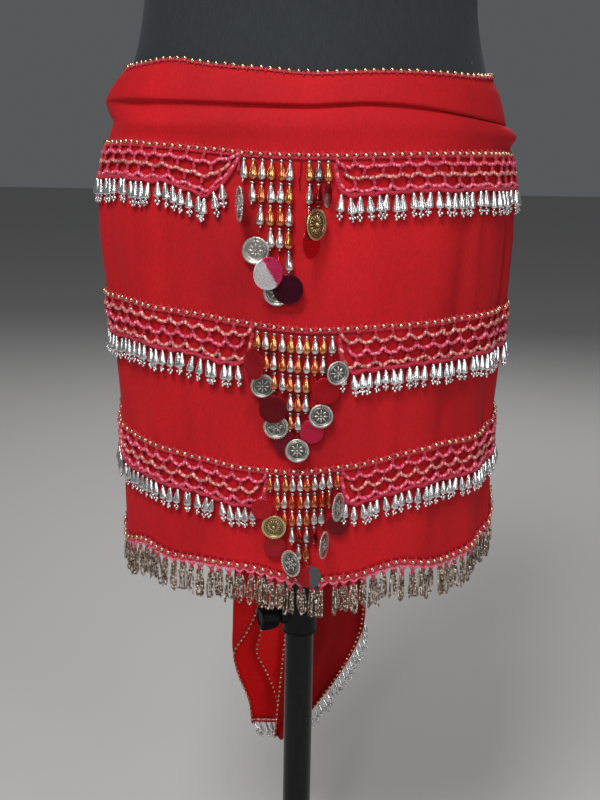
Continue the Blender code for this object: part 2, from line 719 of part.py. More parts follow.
def make_fringe(
    name, place, centres, half, strip, widths, lengths, finish, parent, inward=0.0, asides=()
):
    """Strands on a narrow strip. place(s, drop, out) gives a point at s along the strip.

    widths holds each strand's sections (share of its length, width, depth), inward is the
    share of a section's depth that lies behind the strip's back face, and asides is how far
    each strand's tip lies to one side.
    """
    work = bmesh.new()
    top, bottom = strip
    rings = []
    for centre in centres:
        for s in (centre - half, centre + half):
            corners = ((top, 0.0), (top, STRIP_WALL), (bottom, STRIP_WALL), (bottom, 0.0))
            rings.append([work.verts.new(place(s, drop, out)) for drop, out in corners])
    for k, (first, second) in enumerate(zip(rings, rings[1:])):
        for i in (0, 1, 3):
            j = (i + 1) % 4
            work.faces.new((first[i], first[j], second[j], second[i]))
        if k % 2:
            work.faces.new((first[2], first[3], second[3], second[2]))
    work.faces.new(rings[0])
    work.faces.new(rings[-1])
    for k, centre in enumerate(centres):
        first, second = rings[2 * k], rings[2 * k + 1]
        ring = [first[3], second[3], second[2], first[2]]
        for share, width, depth in widths[k]:
            drop = bottom + lengths[k] * share
            middle = place(centre, drop, 0.0)
            tangent = (place(centre + half, drop, 0) - place(centre - half, drop, 0)).normalized()
            outward = tangent.cross(Vector((0, 0, 1))).normalized()
            if outward.dot(place(centre, drop, STRIP_WALL) - middle) < 0:
                outward.negate()
            if width == 0:
                aside = asides[k] if asides else 0.0
                tip = work.verts.new(place(centre + aside, drop, depth))
                for i in range(4):
                    work.faces.new((ring[i], ring[(i + 1) % 4], tip))
                break
            corners = ((-0.5, -inward), (0.5, -inward), (0.5, 1 - inward), (-0.5, 1 - inward))
            after = [
                work.verts.new(middle + tangent * width * x + outward * depth * y) for x, y in corners
            ]
            for i in range(4):
                j = (i + 1) % 4
                work.faces.new((ring[i], ring[j], after[j], after[i]))
            ring = after
    bmesh.ops.recalc_face_normals(work, faces=work.faces)
    return add_object(name, mesh_of(name, work), finish, parent)


def angle_at(row, x):
    """The angle at which a bead row passes this distance from the centre."""
    return math.degrees(math.asin(x / (body_size(row_height(row, 0))[0] + LEAST_OUT)))


def make_tiers(parent):
    for row, (left, right) in LACE_GAPS.items():
        for side, start in ((-1, left), (1, right)):
            angles = stations(row, angle_at(row, start), side * LACE_END, REPEAT)
            make_lace(row, side, angles, parent)

            def place(s, drop, out, angles=angles, row=row):
                return over_cloth(angles, row, s, drop, out)

            count = len(angles) - 1
            drops = [((DROP_SHOULDER, DROP_WIDTH, DROP_DEPTH), (1.0, 0, 0))] * count
            lengths = [DROP_LENGTH * (1.0 + 0.06 * math.sin(2.4 * k)) for k in range(count)]
            name = f"drops_{row}_{'left' if side < 0 else 'right'}"
            strip = (LACE_DEPTH + TRIM_SEAM, LACE_DEPTH + TRIM_SEAM + STRIP_HEIGHT)
            centres = [k + 0.5 for k in range(count)]
            half = DROP_ROOT_SHARE / 2 * DROP_WIDTH / REPEAT
            make_fringe(name, place, centres, half, strip, drops, lengths, "silver_beads", parent)


def make_clusters(parent):
    """The bead columns at the centre of each tier, which hang to a point, and their discs."""
    for row, table in CLUSTERS.items():
        middle, pitch, pear_pitch = CLUSTER_PLACES[row]
        start = middle - (len(table) - 1) / 2 * pitch
        hung = [(start + k * pitch, strand) for k, strand in enumerate(table) if strand.pears]

        def place(x, drop, out, row=row):
            angle = angle_at(row, x)
            height = row_height(row, angle) - drop
            return around(angle, height, cloth_out(angle, height) + COLUMN_LIFT + out)

        top = LACE_TOP + STRIP_HEIGHT
        widths, lengths, asides = [], [], []
        for x, strand in hung:
            length = strand.reach * MM - top
            steps = []
            for k in range(strand.pears):
                shoulder = (k + PEAR_SHOULDER_SHARE) * pear_pitch / length
                end = (k + PEAR_END_SHARE) * pear_pitch / length
                steps.append((shoulder, pitch * PEAR_WIDTH_SHARE, PEAR_DEPTH))
                steps.append((min(end, THREAD_END_SHARE), THREAD_WIDTH, THREAD_DEPTH))
            steps.append((1.0, 0, disc_forward(strand)))
            widths.append(steps)
            lengths.append(length)
            asides.append(strand.aside * MM)
        make_fringe(
            f"columns_{row}",
            place,
            [x for x, strand in hung],
            COLUMN_ROOT_HALF,
            (LACE_TOP, top),
            widths,
            lengths,
            "coloured_beads",
            parent,
            asides=asides,
        )
        ended = [(x, strand) for x, strand in hung if strand.disc]
        for k, (x, strand) in enumerate(ended):
            make_disc(f"disc_{row}_{k + 1}", place, x + strand.aside * MM, strand, parent)


def disc_forward(strand):
    """How far out of the columns' back a strand ends: at its disc's middle, or at the cloth."""
    if not strand.disc:
        return 0
    turned_depth = strand.disc / 2 * MM * abs(math.sin(math.radians(strand.turn)))
    return DISC_FORWARD + strand.layer * 2 * DISC_WALL + turned_depth


def make_disc(name, place, x, strand, parent):
    """A coin or mirror disc that hangs upright under the end of its column."""
    forward = disc_forward(strand)
    radius = strand.disc / 2 * MM
    drop = strand.reach * MM + SEAM + radius
    centre = place(x, drop, forward)
    work = bmesh.new()
    bmesh.ops.create_cone(
        work, cap_ends=True, segments=DISC_SIDES, radius1=radius, radius2=radius, depth=DISC_WALL
    )
    made = add_object(name, mesh_of(name, work), "coins", parent)
    made.location = centre
    upright = (place(x, drop - radius, forward) - centre).normalized()
    outward = (place(x, drop, 2 * forward) - centre).normalized()
    made.rotation_mode = "QUATERNION"
    across = upright.cross(outward).normalized()
    outward = across.cross(upright)
    flat = Matrix((across, upright, outward)).transposed().to_quaternion()
    made.rotation_quaternion = flat @ Quaternion((0, 1, 0), math.radians(-strand.turn))


def make_tassels(parent):
    """Seed-bead tassels on a strip along the hem, all round as far as the gathers."""
    angles = stations("hem", -LACE_END, LACE_END, TASSEL_PITCH)

    def place(s, drop, out):
        angle = float(np.interp(s, range(len(angles)), angles))
        hem = row_height("hem", angle)
        edge = around(angle, hem, level_out(0, angle) - WALL + out)
        return edge - Vector((0, 0, drop))

    count = len(angles) - 1
    widths = [((TASSEL_SHOULDER, TASSEL_WIDTH, TASSEL_DEPTH), (1.0, 0, 0))] * count
    lengths = [TASSEL_LENGTH * (1.0 + 0.10 * math.sin(1.9 * k)) for k in range(count)]
    strip = (HEM_SEAM, HEM_SEAM + TASSEL_STRIP_HEIGHT)
    centres = [k + 0.5 for k in range(count)]
    half = TASSEL_ROOT_SHARE / 2 * TASSEL_WIDTH / TASSEL_PITCH
    make_fringe(
        "tassels_hem",
        place,
        centres,
        half,
        strip,
        widths,
        lengths,
        "seed_beads",
        parent,
        TASSEL_INWARD,
    )


def empty(name, place=(0, 0, 0), turn=0.0, parent=None):
    made = bpy.data.objects.new(name, None)
    bpy.data.collections["hip_scarf"].objects.link(made)
    made.location = place
    made.rotation_euler = (0, 0, turn)
    made.parent = parent
    return made


def main():
    for old in list(bpy.data.objects):
        bpy.data.objects.remove(old)
    for name in ("hip_scarf", "cutters"):
        bpy.context.scene.collection.children.link(bpy.data.collections.new(name))
    stand = empty("stand")
    form = empty("form", parent=stand)
    knob_axis = empty("knob_axis", (0, 0, KNOB_HEIGHT), KNOB_TURN, form)
    make_base(stand)
    cylinder("pole", POLE_RADIUS, SOCKET_FLOOR + SEAM, POLE_TOP, POLE_SIDES, "black_metal", stand)
    make_collar(form)
    make_knob(knob_axis)
    make_torso(form)
    make_neck_cap(form)
    make_wraps(form)
    make_knot(form)
    make_tails(form)
    make_tiers(form)
    make_clusters(form)
    make_tassels(form)


main()
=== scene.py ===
import math
from collections import namedtuple

import bpy
import numpy as np
from mathutils import Matrix, Vector


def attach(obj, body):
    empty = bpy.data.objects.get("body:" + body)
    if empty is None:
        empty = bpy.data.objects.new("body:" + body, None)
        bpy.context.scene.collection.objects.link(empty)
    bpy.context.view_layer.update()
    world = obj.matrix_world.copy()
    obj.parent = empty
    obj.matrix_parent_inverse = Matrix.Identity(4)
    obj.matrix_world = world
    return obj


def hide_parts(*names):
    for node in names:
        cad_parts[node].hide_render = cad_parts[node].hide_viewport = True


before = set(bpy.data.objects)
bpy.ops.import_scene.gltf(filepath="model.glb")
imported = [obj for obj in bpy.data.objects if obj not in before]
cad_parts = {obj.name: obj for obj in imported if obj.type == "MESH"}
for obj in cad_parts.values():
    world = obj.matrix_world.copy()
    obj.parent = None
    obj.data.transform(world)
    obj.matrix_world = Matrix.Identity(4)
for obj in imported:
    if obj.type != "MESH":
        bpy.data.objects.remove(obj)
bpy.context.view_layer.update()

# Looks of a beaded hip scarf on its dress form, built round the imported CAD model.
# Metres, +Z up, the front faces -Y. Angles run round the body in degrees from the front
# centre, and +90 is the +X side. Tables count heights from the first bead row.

MM = 0.001
RANDOM = np.random.default_rng(7)

# Heights and sizes that the CAD states
HIP_ROW = 0.800
FORM_BOTTOM = HIP_ROW - 0.335
FORM_TOP = HIP_ROW + 0.600
BORE_TOP = HIP_ROW + 0.020
BORE_RADIUS = 0.0155
POLE_RADIUS = 0.0135
KNOT_HEIGHT = HIP_ROW - 0.100
KNOT_SIZE = (0.0350, 0.0220, 0.0290)
KNOT_CENTRE = 0.1570
KNOB_HEIGHT = HIP_ROW - 0.427
KNOB_TURN = math.radians(-160)
LACE_END = 117.0
SIDE_SEAM = 88.0
SIDE_GAP = 0.4
WALL = 0.0009
LEAST_OUT = 0.0021

Section = namedtuple("Section", "height half_width front back")
BODY = [Section(*row) for row in (
    (-0.335, 0.1545, 0.097, 0.108), (-0.29, 0.157, 0.1, 0.114), (-0.23, 0.1595, 0.103, 0.12),
    (-0.16, 0.165, 0.107, 0.127), (-0.1, 0.1715, 0.11, 0.131), (-0.05, 0.1735, 0.111, 0.129),
    (0, 0.1685, 0.11, 0.121), (0.045, 0.158, 0.105, 0.108), (0.085, 0.146, 0.098, 0.094),
    (0.125, 0.14, 0.093, 0.087), (0.18, 0.1435, 0.098, 0.088), (0.24, 0.151, 0.112, 0.093),
    (0.295, 0.158, 0.122, 0.099), (0.345, 0.162, 0.113, 0.103), (0.395, 0.169, 0.091, 0.101),
    (0.435, 0.172, 0.073, 0.093), (0.462, 0.163, 0.061, 0.081), (0.484, 0.138, 0.053, 0.069),
    (0.502, 0.103, 0.047, 0.058), (0.52, 0.072, 0.044, 0.051), (0.545, 0.0575, 0.044, 0.048),
    (0.6, 0.055, 0.045, 0.048),
)]

ROW_STATIONS = (-90, -75, -60, -45, -30, -15, 0, 15, 30, 45, 60, 75, 90)
ROWS = {
    "top": (66, 69, 71, 73.5, 69, 66, 63, 65, 66, 65.5, 65, 66, 67),
    "crease": (43, 43, 42.5, 41.5, 40.5, 39.5, 39, 41.5, 40, 35.5, 31, 28, 26),
    "lip": (31, 31, 30, 30.5, 32, 33, 33, 36, 34.5, 31.5, 28, 25, 23),
    "tier_1": (6, 7, 8, 7, 4.5, 1.5, 0.5, 1.5, 3, 3.5, 3.5, 3, 1),
    "tier_2": (-117, -120, -121, -124, -127, -132, -136, -134, -132, -129.5, -128, -126, -124),
    "tier_3": (-224, -236, -242, -246, -250, -255, -256, -250, -242, -237, -235.5, -229, -218),
    "hem": (-330, -341, -336, -341, -341, -343, -352, -348, -339, -342, -336, -326, -303),
}
BEAD_ROWS = ("top", "tier_1", "tier_2", "tier_3", "hem")

# The cloth's profile from the hem up. gathered is the level's place in the gathers at the knot,
# and the last five columns are how far it stands off the body, in millimetres, at SIDE_STATIONS
Level = namedtuple("Level", "gathered above below share left left_front middle right_front right")
LEVELS = [Level(*row) for row in (
    (0, "tier_3", "hem", 1, 6, 5, 4.5, 13, 16), (1, "tier_3", "hem", 0.5, 4, 3.5, 3.5, 9.5, 12),
    (2, "tier_3", "hem", 0, 4, 3.5, 2.8, 8, 10), (3, "tier_2", "tier_3", 0.5, 3.5, 3, 2.8, 7, 9),
    (4, "tier_2", "tier_3", 0, 4, 3.5, 2.6, 5.5, 7), (5, "tier_1", "tier_2", 0.5, 6, 5, 3, 4.5, 5),
    (5.6, "tier_1", "tier_2", 0.15, 5.3, 4.3, 2.8, 4.1, 4.6),
    (6, "tier_1", "tier_2", 0, 5, 4.2, 3.2, 4.2, 4.7),
    (7, "lip", "tier_1", 0.7, 4, 4.5, 4.6, 5.5, 7),
    (8, "lip", "tier_1", 0.32, 2.6, 6.5, 7.5, 8.5, 14),
    (9, "lip", "tier_1", 0.02, 9, 5, 6, 6.5, 10),
    (10, "crease", "lip", 0.35, 14.5, 2.4, 2.3, 2.4, 3),
    (10.5, "top", "crease", 1.03, 15, 7, 6.5, 5.5, 6),
    (11, "top", "crease", 0.9, 14.5, 8.5, 8, 7, 6.5),
    (12, "top", "crease", 0.4, 10.5, 7, 6, 6, 6.5),
    (12.6, "top", "crease", 0.15, 6, 4, 3.6, 4, 4.2), (13, "top", "crease", 0, 3, 2.6, 2.4, 2.8, 3),
)]
SIDE_STATIONS = (-180, -90, -60, 0, 60, 90, 180)
BACK_OUT = 4.5
GATHERED_LEVELS = 13
# Gathers at a row: how far they reach below and above it in metres, and their rise in millimetres
PUCKERS = (
    ("top", 0.018, 0.004, 0.55), ("tier_1", 0.010, 0.012, 0.35), ("tier_2", 0.012, 0.016, 0.45),
    ("tier_3", 0.012, 0.016, 0.45), ("hem", 0.004, 0.016, 0.50),
)
GATHERED_HEIGHT = 0.062
BAND_LEVEL = 10.5
# Angles at which the bead rows end and the cloth reaches the knot, and from which the knot pulls
# on the rows, pleats the cloth, evens its levels and lifts it
ROW_END = 158.0
KNOT_ANGLE = 168.0
ROWS_PULLED = 90.0
PLEATED = 100.0
LEVELS_PULLED = 120.0
LIFTED = 145.0
PLEAT_RISE = 7.0 * MM
KNOT_LIFT = 13.0 * MM

# Soft upright folds below the band: ridges rise, troughs sink. slant is in degrees per metre
Fold = namedtuple("Fold", "angle half_width top bottom rise slant")
FOLDS = [Fold(*row) for row in (
    (-74, 10, 0, -0.4, 2.5, 0), (-48, 9, 0, -0.4, 1.6, 0), (-22, 8, 0, -0.4, 1.2, 0),
    (16, 8, 0, -0.4, 1.8, 0), (38, 9, 0, -0.4, 2.2, 0), (60, 10, 0, -0.4, 2.8, 0),
    (82, 9, 0, -0.4, 2.5, 0), (-82, 4, -0.02, -0.4, 1.6, 25), (-66, 4, -0.03, -0.19, -1.2, -35),
    (-57, 4, -0.02, -0.13, 1.4, 40), (-41, 5, -0.05, -0.19, -1, -10),
    (-33, 4, -0.15, -0.36, 1.3, -25), (-12, 5, -0.02, -0.12, 0.9, 35),
    (6, 4, -0.04, -0.13, -1.2, -40), (12, 3, -0.03, -0.12, 1.1, -30), (25, 4, -0.13, -0.3, 1, 15),
    (45, 4, -0.02, -0.34, -1.4, 12), (52, 3, -0.03, -0.2, 1.6, -12), (66, 3, -0.02, -0.15, 1.8, 10),
    (71, 3, -0.04, -0.36, -1.6, 8), (76, 3, -0.01, -0.36, 2, -8), (97, 5, -0.02, -0.33, 2.2, 20),
    (106, 4, -0.05, -0.25, -1.4, 10), (116, 5, -0.03, -0.3, 1.8, -25),
    (128, 4, -0.05, -0.22, 1.2, -10), (-96, 5, -0.03, -0.33, 2, -15),
    (-104, 4, -0.02, -0.22, -1.4, 12), (-113, 5, -0.05, -0.3, 1.8, 20),
    (-126, 4, -0.04, -0.24, 1.3, 12),
)]

# Bead columns at the centre of each tier, from the left. pears names the finish of each pear
# from the top: s silver, c copper, a amber, o orange, r dark red, g grey. Then come the column's
# length and the width of its disc in millimetres, the disc's layer, how far it hangs to one side,
# its turn in degrees and its kind
Strand = namedtuple("Strand", "pears reach disc layer aside turn kind", defaults=(0, 0, 0, 0, ""))
CLUSTERS = {
    "tier_1": (
        Strand("s", 25, 26, 0, 0, 66, "filigree"),
        Strand("as", 40),
        Strand("scs", 63, 22, 0, -3, 0, "hammered"),
        Strand("asas", 77, 26, 2, 0, -34, "pink"),
        Strand("cscs", 95, 22, 0, -1.5, 0, "coin"),
        Strand("sasas", 91, 24, 1, 0, 0, "purple"),
        Strand("", 0),
        Strand("aso", 52, 26, 0, 2, -58, "red"),
        Strand("gr", 39, 25, 0, -1.5, -50, "gold"),
        Strand("a", 20, 20, 0, -1, -66, "dark"),
    ),
    "tier_2": (
        Strand("a", 18, 25, 0, -2.7, 40, "red"),
        Strand("sc", 39, 20, 0, -2.7, 0, "coin"),
        Strand("asc", 55, 23, 2, 0, 0, "dark"),
        Strand("scs", 71, 20, 1, -4.5, 0, "beaded"),
        Strand("ascsc", 84, 20, 0, -4, 0, "maroon"),
        Strand("scscs", 90, 20, 1, 0, 0, "ringed"),
        Strand("asas", 74, 20, 0, 5, 0, "crimson"),
        Strand("sc", 60, 20, 1, 5.7, 0, "coin"),
        Strand("as", 38, 22, 1, 2.6, 0, "red"),
        Strand("s", 24, 20, 0, 5.1, -20, "coin"),
    ),
    "tier_3": (
        Strand("c", 22, 18, 2, -5.4, 0, "red"),
        Strand("sc", 37, 20, 1, -2.4, 0, "toothed"),
        Strand("asc", 56, 19, 0, -8, 0, "glitter"),
        Strand("socs", 65, 22, 1, 0, 45, "beaded"),
        Strand("scsrs", 77),
        Strand("cscsc", 82, 20, 0, 3.0, 0, "halves"),
        Strand("scsr", 61),
        Strand("sos", 50, 22, 0, 1.5, -66, "filigree"),
        Strand("so", 38, 18, 0, 6.6, 0, "dark"),
        Strand("o", 18, 23, 0, 0, -58, "pointed"),
    ),
}
# Middle and pitch of the columns, the first bead's drop, the pitch of the pears, the lace's depth
# as a share of the first tier's, and the size of the tier's hung drops
ClusterPlace = namedtuple("ClusterPlace", "middle pitch bead_drop pear_pitch lace_depth drop_size")
CLUSTER_PLACES = {
    "tier_1": ClusterPlace(-0.01745, 0.00707, 0.0050, 0.0174, 1.00, 1.00),
    "tier_2": ClusterPlace(-0.0088, 0.0065, 0.0058, 0.0161, 1.18, 0.94),
    "tier_3": ClusterPlace(0.0004, 0.0060, 0.0036, 0.0152, 1.10, 0.90),
}
LACE_GAPS = {"tier_1": (-0.053, 0.020), "tier_2": (-0.043, 0.027), "tier_3": (-0.030, 0.031)}
DISC_FORWARD = 0.0052
DISC_LAYER = 0.0024
PEAR_GAP = 0.0037

# Waves of the lace below the bead row, in millimetres: peak, trough, and the tubes' colour
Wave = namedtuple("Wave", "peak trough colour")
WAVES = {
    "tier_1": (Wave(6.6, 8.8, "pink"), Wave(14.6, 16.8, "clear"), Wave(23.4, 26.0, "pink")),
    "tier_2": (Wave(5.8, 9.6, "clear"), Wave(13.8, 17.8, "pink"), Wave(22.4, 26.0, "clear")),
    "tier_3": (Wave(5.6, 10.0, "pink"), Wave(13.6, 18.4, "clear"), Wave(22.0, 26.4, "pink")),
}
REPEAT = 0.0146
FOOT = 28.6 * MM
TASSEL_PITCH = 0.0092

TailRow = namedtuple("TailRow", "height left right behind")
TAIL_RIGHT = [TailRow(*row) for row in (
    (-0.1293, 0.003, 0.02, 0.156), (-0.2, 0.002, 0.036, 0.16), (-0.3, -0.001, 0.053, 0.158),
    (-0.41, -0.006, 0.064, 0.156), (-0.52, -0.014, 0.069, 0.155), (-0.57, -0.018, 0.045, 0.155),
    (-0.615, -0.022, 0.014, 0.155), (-0.645, -0.024, -0.01, 0.155),
)]
# The left tail is folded lengthwise: edge_2 is the front layer's free edge, then the cloth turns
# at right, runs behind to left and turns forward to edge_1
FoldedRow = namedtuple("FoldedRow", "height edge_2 right left edge_1 behind")
TAIL_LEFT = [FoldedRow(*row) for row in (
    (-0.1293, -0.012, -0.004, -0.021, -0.014, 0.16), (-0.2, -0.02, -0.005, -0.041, -0.028, 0.166),
    (-0.3, -0.028, -0.007, -0.058, -0.04, 0.169), (-0.41, -0.035, -0.009, -0.068, -0.044, 0.17),
    (-0.49, -0.037, -0.01, -0.0715, -0.044, 0.17), (-0.52, -0.041, -0.01, -0.072, -0.056, 0.17),
    (-0.548, -0.045, -0.01, -0.072, -0.0705, 0.17), (-0.566, -0.036, -0.011, -0.068, -0.0675, 0.17),
    (-0.604, -0.022, -0.012, -0.054, -0.0535, 0.17), (-0.632, -0.019, -0.014, -0.05, -0.0495, 0.17),
)]


def curve(x, xs, ys):
    """A smooth curve through the points (xs, ys), read at each x."""
    xs, ys = np.asarray(xs, float), np.asarray(ys, float)
    slopes = np.gradient(ys, xs)
    x = np.clip(np.asarray(x, float), xs[0], xs[-1])
    i = np.clip(np.searchsorted(xs, x, side="right") - 1, 0, len(xs) - 2)
    gap = xs[i + 1] - xs[i]
    t = (x - xs[i]) / gap
    start = ys[i] * (1 + 2 * t) + gap * slopes[i] * t
    end = ys[i + 1] * (3 - 2 * t) - gap * slopes[i + 1] * (1 - t)
    return start * (1 - t) ** 2 + end * t**2


def smooth(t):
    t = np.clip(t, 0.0, 1.0)
    return t * t * (3 - 2 * t)


def column(table, name):
    return [getattr(row, name) for row in table]


def body_size(height):
    heights = column(BODY, "height")
    rise = np.asarray(height, float) - HIP_ROW
    return [curve(rise, heights, column(BODY, name)) for name in ("half_width", "front", "back")]


def around(angle, height, out):
    """Points at these angles and heights, this far out of the body."""
    turn = np.radians(angle)
    half_width, front, back = body_size(height)
    depth = np.where(np.cos(turn) > 0, front, back)
    x, y = (half_width + out) * np.sin(turn), -(depth + out) * np.cos(turn)
    return np.stack(np.broadcast_arrays(x, y, np.asarray(height, float)), -1)


def row_height(name, angle):
    side = curve(angle, ROW_STATIONS, ROWS[name]) * MM
    place = 0.5
    if name in BEAD_ROWS:
        place -= BEAD_ROWS.index(name) / 4
    at_knot = KNOT_HEIGHT - HIP_ROW + place * GATHERED_HEIGHT
    share = smooth((np.abs(angle) - ROWS_PULLED) / (KNOT_ANGLE - ROWS_PULLED))
    return HIP_ROW + side + (at_knot - side) * share


def folds_at(angle, height):
    total = np.zeros(np.broadcast(angle, height).shape)
    rise = height - HIP_ROW
    for fold in FOLDS:
        middle = (fold.top + fold.bottom) / 2
        centre = fold.angle + fold.slant * (rise - middle)
        across = 1 - smooth(np.abs(angle - centre) / fold.half_width)
        up = smooth((fold.top + 0.02 - rise) / 0.045)
        down = smooth((rise - fold.bottom) / 0.045)
        total += fold.rise * MM * across * up * down
    return total


def ripples(angle, height):
    """A little unevenness all over, below half a millimetre."""
    a, h = np.radians(angle), height
    wave = np.sin(9 * a + 40 * h + 0.7) + 0.6 * np.sin(17 * a - 70 * h + 2.1)
    return 0.22 * MM * (wave + 0.5 * np.sin(31 * a + 95 * h))


def puckers(angle, height):
    """Short upright gathers where the bead rows are sewn on."""
    total = np.zeros(np.broadcast(angle, height).shape)
    wave = 0.6 * np.sin(1.9 * angle + 0.8 * np.sin(0.31 * angle)) + 0.4 * np.sin(3.3 * angle + 1.1)
    for name, below, above, rise in PUCKERS:
        up = height - row_height(name, angle)
        total += rise * MM * wave * smooth((up + below) / below) * smooth((above - up) / above)
    return total


def through(values, v):
    """Values at fractional places v along the first axis, on a smooth curve."""
    last = len(values) - 1
    i = np.clip(np.floor(v).astype(int), 0, last - 1)
    t = (v - i)[:, None]
    before, first = values[np.maximum(i - 1, 0)], values[i]
    second, after = values[i + 1], values[np.minimum(i + 2, last)]
    return 0.5 * (
        2 * first
        + (second - before) * t
        + (2 * before - 5 * first + 4 * second - after) * t**2
        + (3 * first - before - 3 * second + after) * t**3
    )


def cloth(angle, v):
    """Points of the cloth's outer face on a grid: v runs over the levels, angle round the body."""
    angle = np.asarray(angle, float)
    even = smooth((np.abs(angle) - LEVELS_PULLED) / (KNOT_ANGLE - LEVELS_PULLED))
    heights, outs = [], []
    for level in LEVELS:
        top, bottom = row_height(level.above, angle), row_height(level.below, angle)
        at_knot = KNOT_HEIGHT + (level.gathered / GATHERED_LEVELS - 0.5) * GATHERED_HEIGHT
        heights.append((top + (bottom - top) * level.share) * (1 - even) + at_knot * even)
        outs.append(curve(angle, SIDE_STATIONS, (BACK_OUT, *level[4:], BACK_OUT)) * MM)
    height = through(np.array(heights), v)
    out = through(np.array(outs), v)
    gathered = through(np.array(column(LEVELS, "gathered"))[:, None], v)
    below_band = smooth((BAND_LEVEL - v[:, None]) / 2.0)
    gather = smooth((np.abs(angle) - PLEATED) / 60)
    pleat = PLEAT_RISE * gather * (0.5 - 0.5 * np.cos(math.pi * gathered))
    lift = KNOT_LIFT * smooth((np.abs(angle) - LIFTED) / (KNOT_ANGLE - LIFTED))
    folds = folds_at(angle, height) * (0.15 + 0.85 * below_band)
    extra = folds + ripples(angle, height) + puckers(angle, height)
    out = np.maximum(np.maximum(out, LEAST_OUT) + extra, LEAST_OUT) + pleat + lift
    return around(angle, height, out), height, out


GRID_ANGLES = np.linspace(-170, 170, 681)
GRID_HEIGHTS = np.linspace(HIP_ROW - 0.36, HIP_ROW + 0.08, 221)


def cloth_grid():
    """How far out the cloth lies, on a grid of angles and heights, for what is sewn on it."""
    v = np.linspace(0, len(LEVELS) - 1, 240)
    _, height, out = cloth(GRID_ANGLES, v)
    grid = np.empty((len(GRID_ANGLES), len(GRID_HEIGHTS)))
    for k in range(len(GRID_ANGLES)):
        order = np.argsort(height[:, k])
        grid[k] = np.interp(GRID_HEIGHTS, height[order, k], out[order, k])
    return grid


CLOTH_GRID = cloth_grid()


def cloth_out(angle, height):
    """How far out the cloth lies at any angle and height, read off the grid."""
    a_step, h_step = GRID_ANGLES[1] - GRID_ANGLES[0], GRID_HEIGHTS[1] - GRID_HEIGHTS[0]
    a = (np.clip(angle, -169.9, 169.9) - GRID_ANGLES[0]) / a_step
    h = (np.clip(height, GRID_HEIGHTS[0], GRID_HEIGHTS[-1] - 1e-6) - GRID_HEIGHTS[0]) / h_step
    i, j = np.floor(a).astype(int), np.floor(h).astype(int)
    s, t = a - i, h - j
    low, high = (CLOTH_GRID[k, j] * (1 - t) + CLOTH_GRID[k, j + 1] * t for k in (i, i + 1))
    return low * (1 - s) + high * s


def over(angle, height, lift):
    """Points this far in front of the cloth's outer face."""
    return around(angle, height, cloth_out(angle, height) + lift)


def axes_at(angle, height):
    """Unit vectors along the cloth, up, and out of it, at each angle: an (N, 3, 3) array."""
    turn = np.radians(angle)
    half_width, front, back = body_size(height)
    depth = np.where(np.cos(turn) > 0, front, back)
    along = np.stack([half_width * np.cos(turn), depth * np.sin(turn), 0 * turn], -1)
    along /= np.linalg.norm(along, axis=-1, keepdims=True)
    up = np.zeros_like(along)
    up[..., 2] = 1
    return np.stack([along, up, np.cross(along, up)], -2)


def stations(row, start, end, pitch):
    """Angles along a bead row, one pitch of real length apart."""
    angles = np.linspace(start, end, 900)
    height = row_height(row, angles)
    points = around(angles, height, cloth_out(angles, height))
    lengths = np.concatenate([[0], np.cumsum(np.linalg.norm(np.diff(points, axis=0), axis=1))])
    count = int(lengths[-1] / pitch)
    return np.interp(np.arange(count + 1) * pitch, lengths, angles)


def angle_at(row, x):
    """The angle at which a bead row passes this distance from the centre."""
    half_width = body_size(row_height(row, np.array(0.0)))[0] + LEAST_OUT
    return np.degrees(np.arcsin(np.asarray(x) / half_width))


# Mesh building: many small things are written into one mesh

Shape = namedtuple("Shape", "verts quads tris")


def ball(sides, rings):
    tilts = [math.pi * k / rings for k in range(rings + 1)]
    return lathe([(math.sin(tilt), math.cos(tilt)) for tilt in tilts], sides)


def lathe(profile, sides, ridge=0.0):
    """A turned shape from (radius, z) points, top first. ridge pulls every other side in."""
    verts = [(0, 0, profile[0][1])]
    for radius, z in profile[1:-1]:
        for i in range(sides):
            turn = 2 * math.pi * i / sides
            reach = radius * (1 - ridge * (i % 2))
            verts.append((reach * math.cos(turn), reach * math.sin(turn), z))
    verts.append((0, 0, profile[-1][1]))
    quads, tris, last = [], [], len(verts) - 1
    for i in range(sides):
        j = (i + 1) % sides
        tris += [(0, 1 + i, 1 + j), (last, last - sides + j, last - sides + i)]
        for a in range(1, last - sides, sides):
            quads.append((a + i, a + sides + i, a + sides + j, a + j))
    return Shape(np.array(verts, float), np.array(quads, int), np.array(tris, int))


def swept(path, radius, sides=6, out=None):
    """A thread along a path. radius is one number or one for each point."""
    path = np.asarray(path, float)
    along = np.gradient(path, axis=0)
    along /= np.linalg.norm(along, axis=1, keepdims=True) + 1e-12
    out = np.array([0.0, 0.0, 1.0]) if out is None else np.asarray(out, float)
    side = np.cross(along, out)
    weak = np.linalg.norm(side, axis=1) < 1e-3
    side[weak] = np.cross(along[weak], [0.31, 0.95, 0.0])
    side /= np.linalg.norm(side, axis=1, keepdims=True)
    other = np.cross(side, along)
    turn = 2 * math.pi * np.arange(sides) / sides
    radius = np.broadcast_to(np.asarray(radius, float), len(path))
    ring = (
        side[:, None] * np.cos(turn)[None, :, None] + other[:, None] * np.sin(turn)[None, :, None]
    )
    verts = (path[:, None] + ring * radius[:, None, None]).reshape(-1, 3)
    k, i = np.meshgrid(np.arange(len(path) - 1), np.arange(sides), indexing="ij")
    j = (i + 1) % sides
    a = k * sides
    quads = np.stack([a + i, a + j, a + sides + j, a + sides + i], -1).reshape(-1, 4)
    ends = []
    for base, flip in ((0, True), ((len(path) - 1) * sides, False)):
        for m in range(1, sides - 1):
            face = (base, base + m, base + m + 1)
            ends.append(face[::-1] if flip else face)
    return Shape(verts, quads, np.array(ends, int))


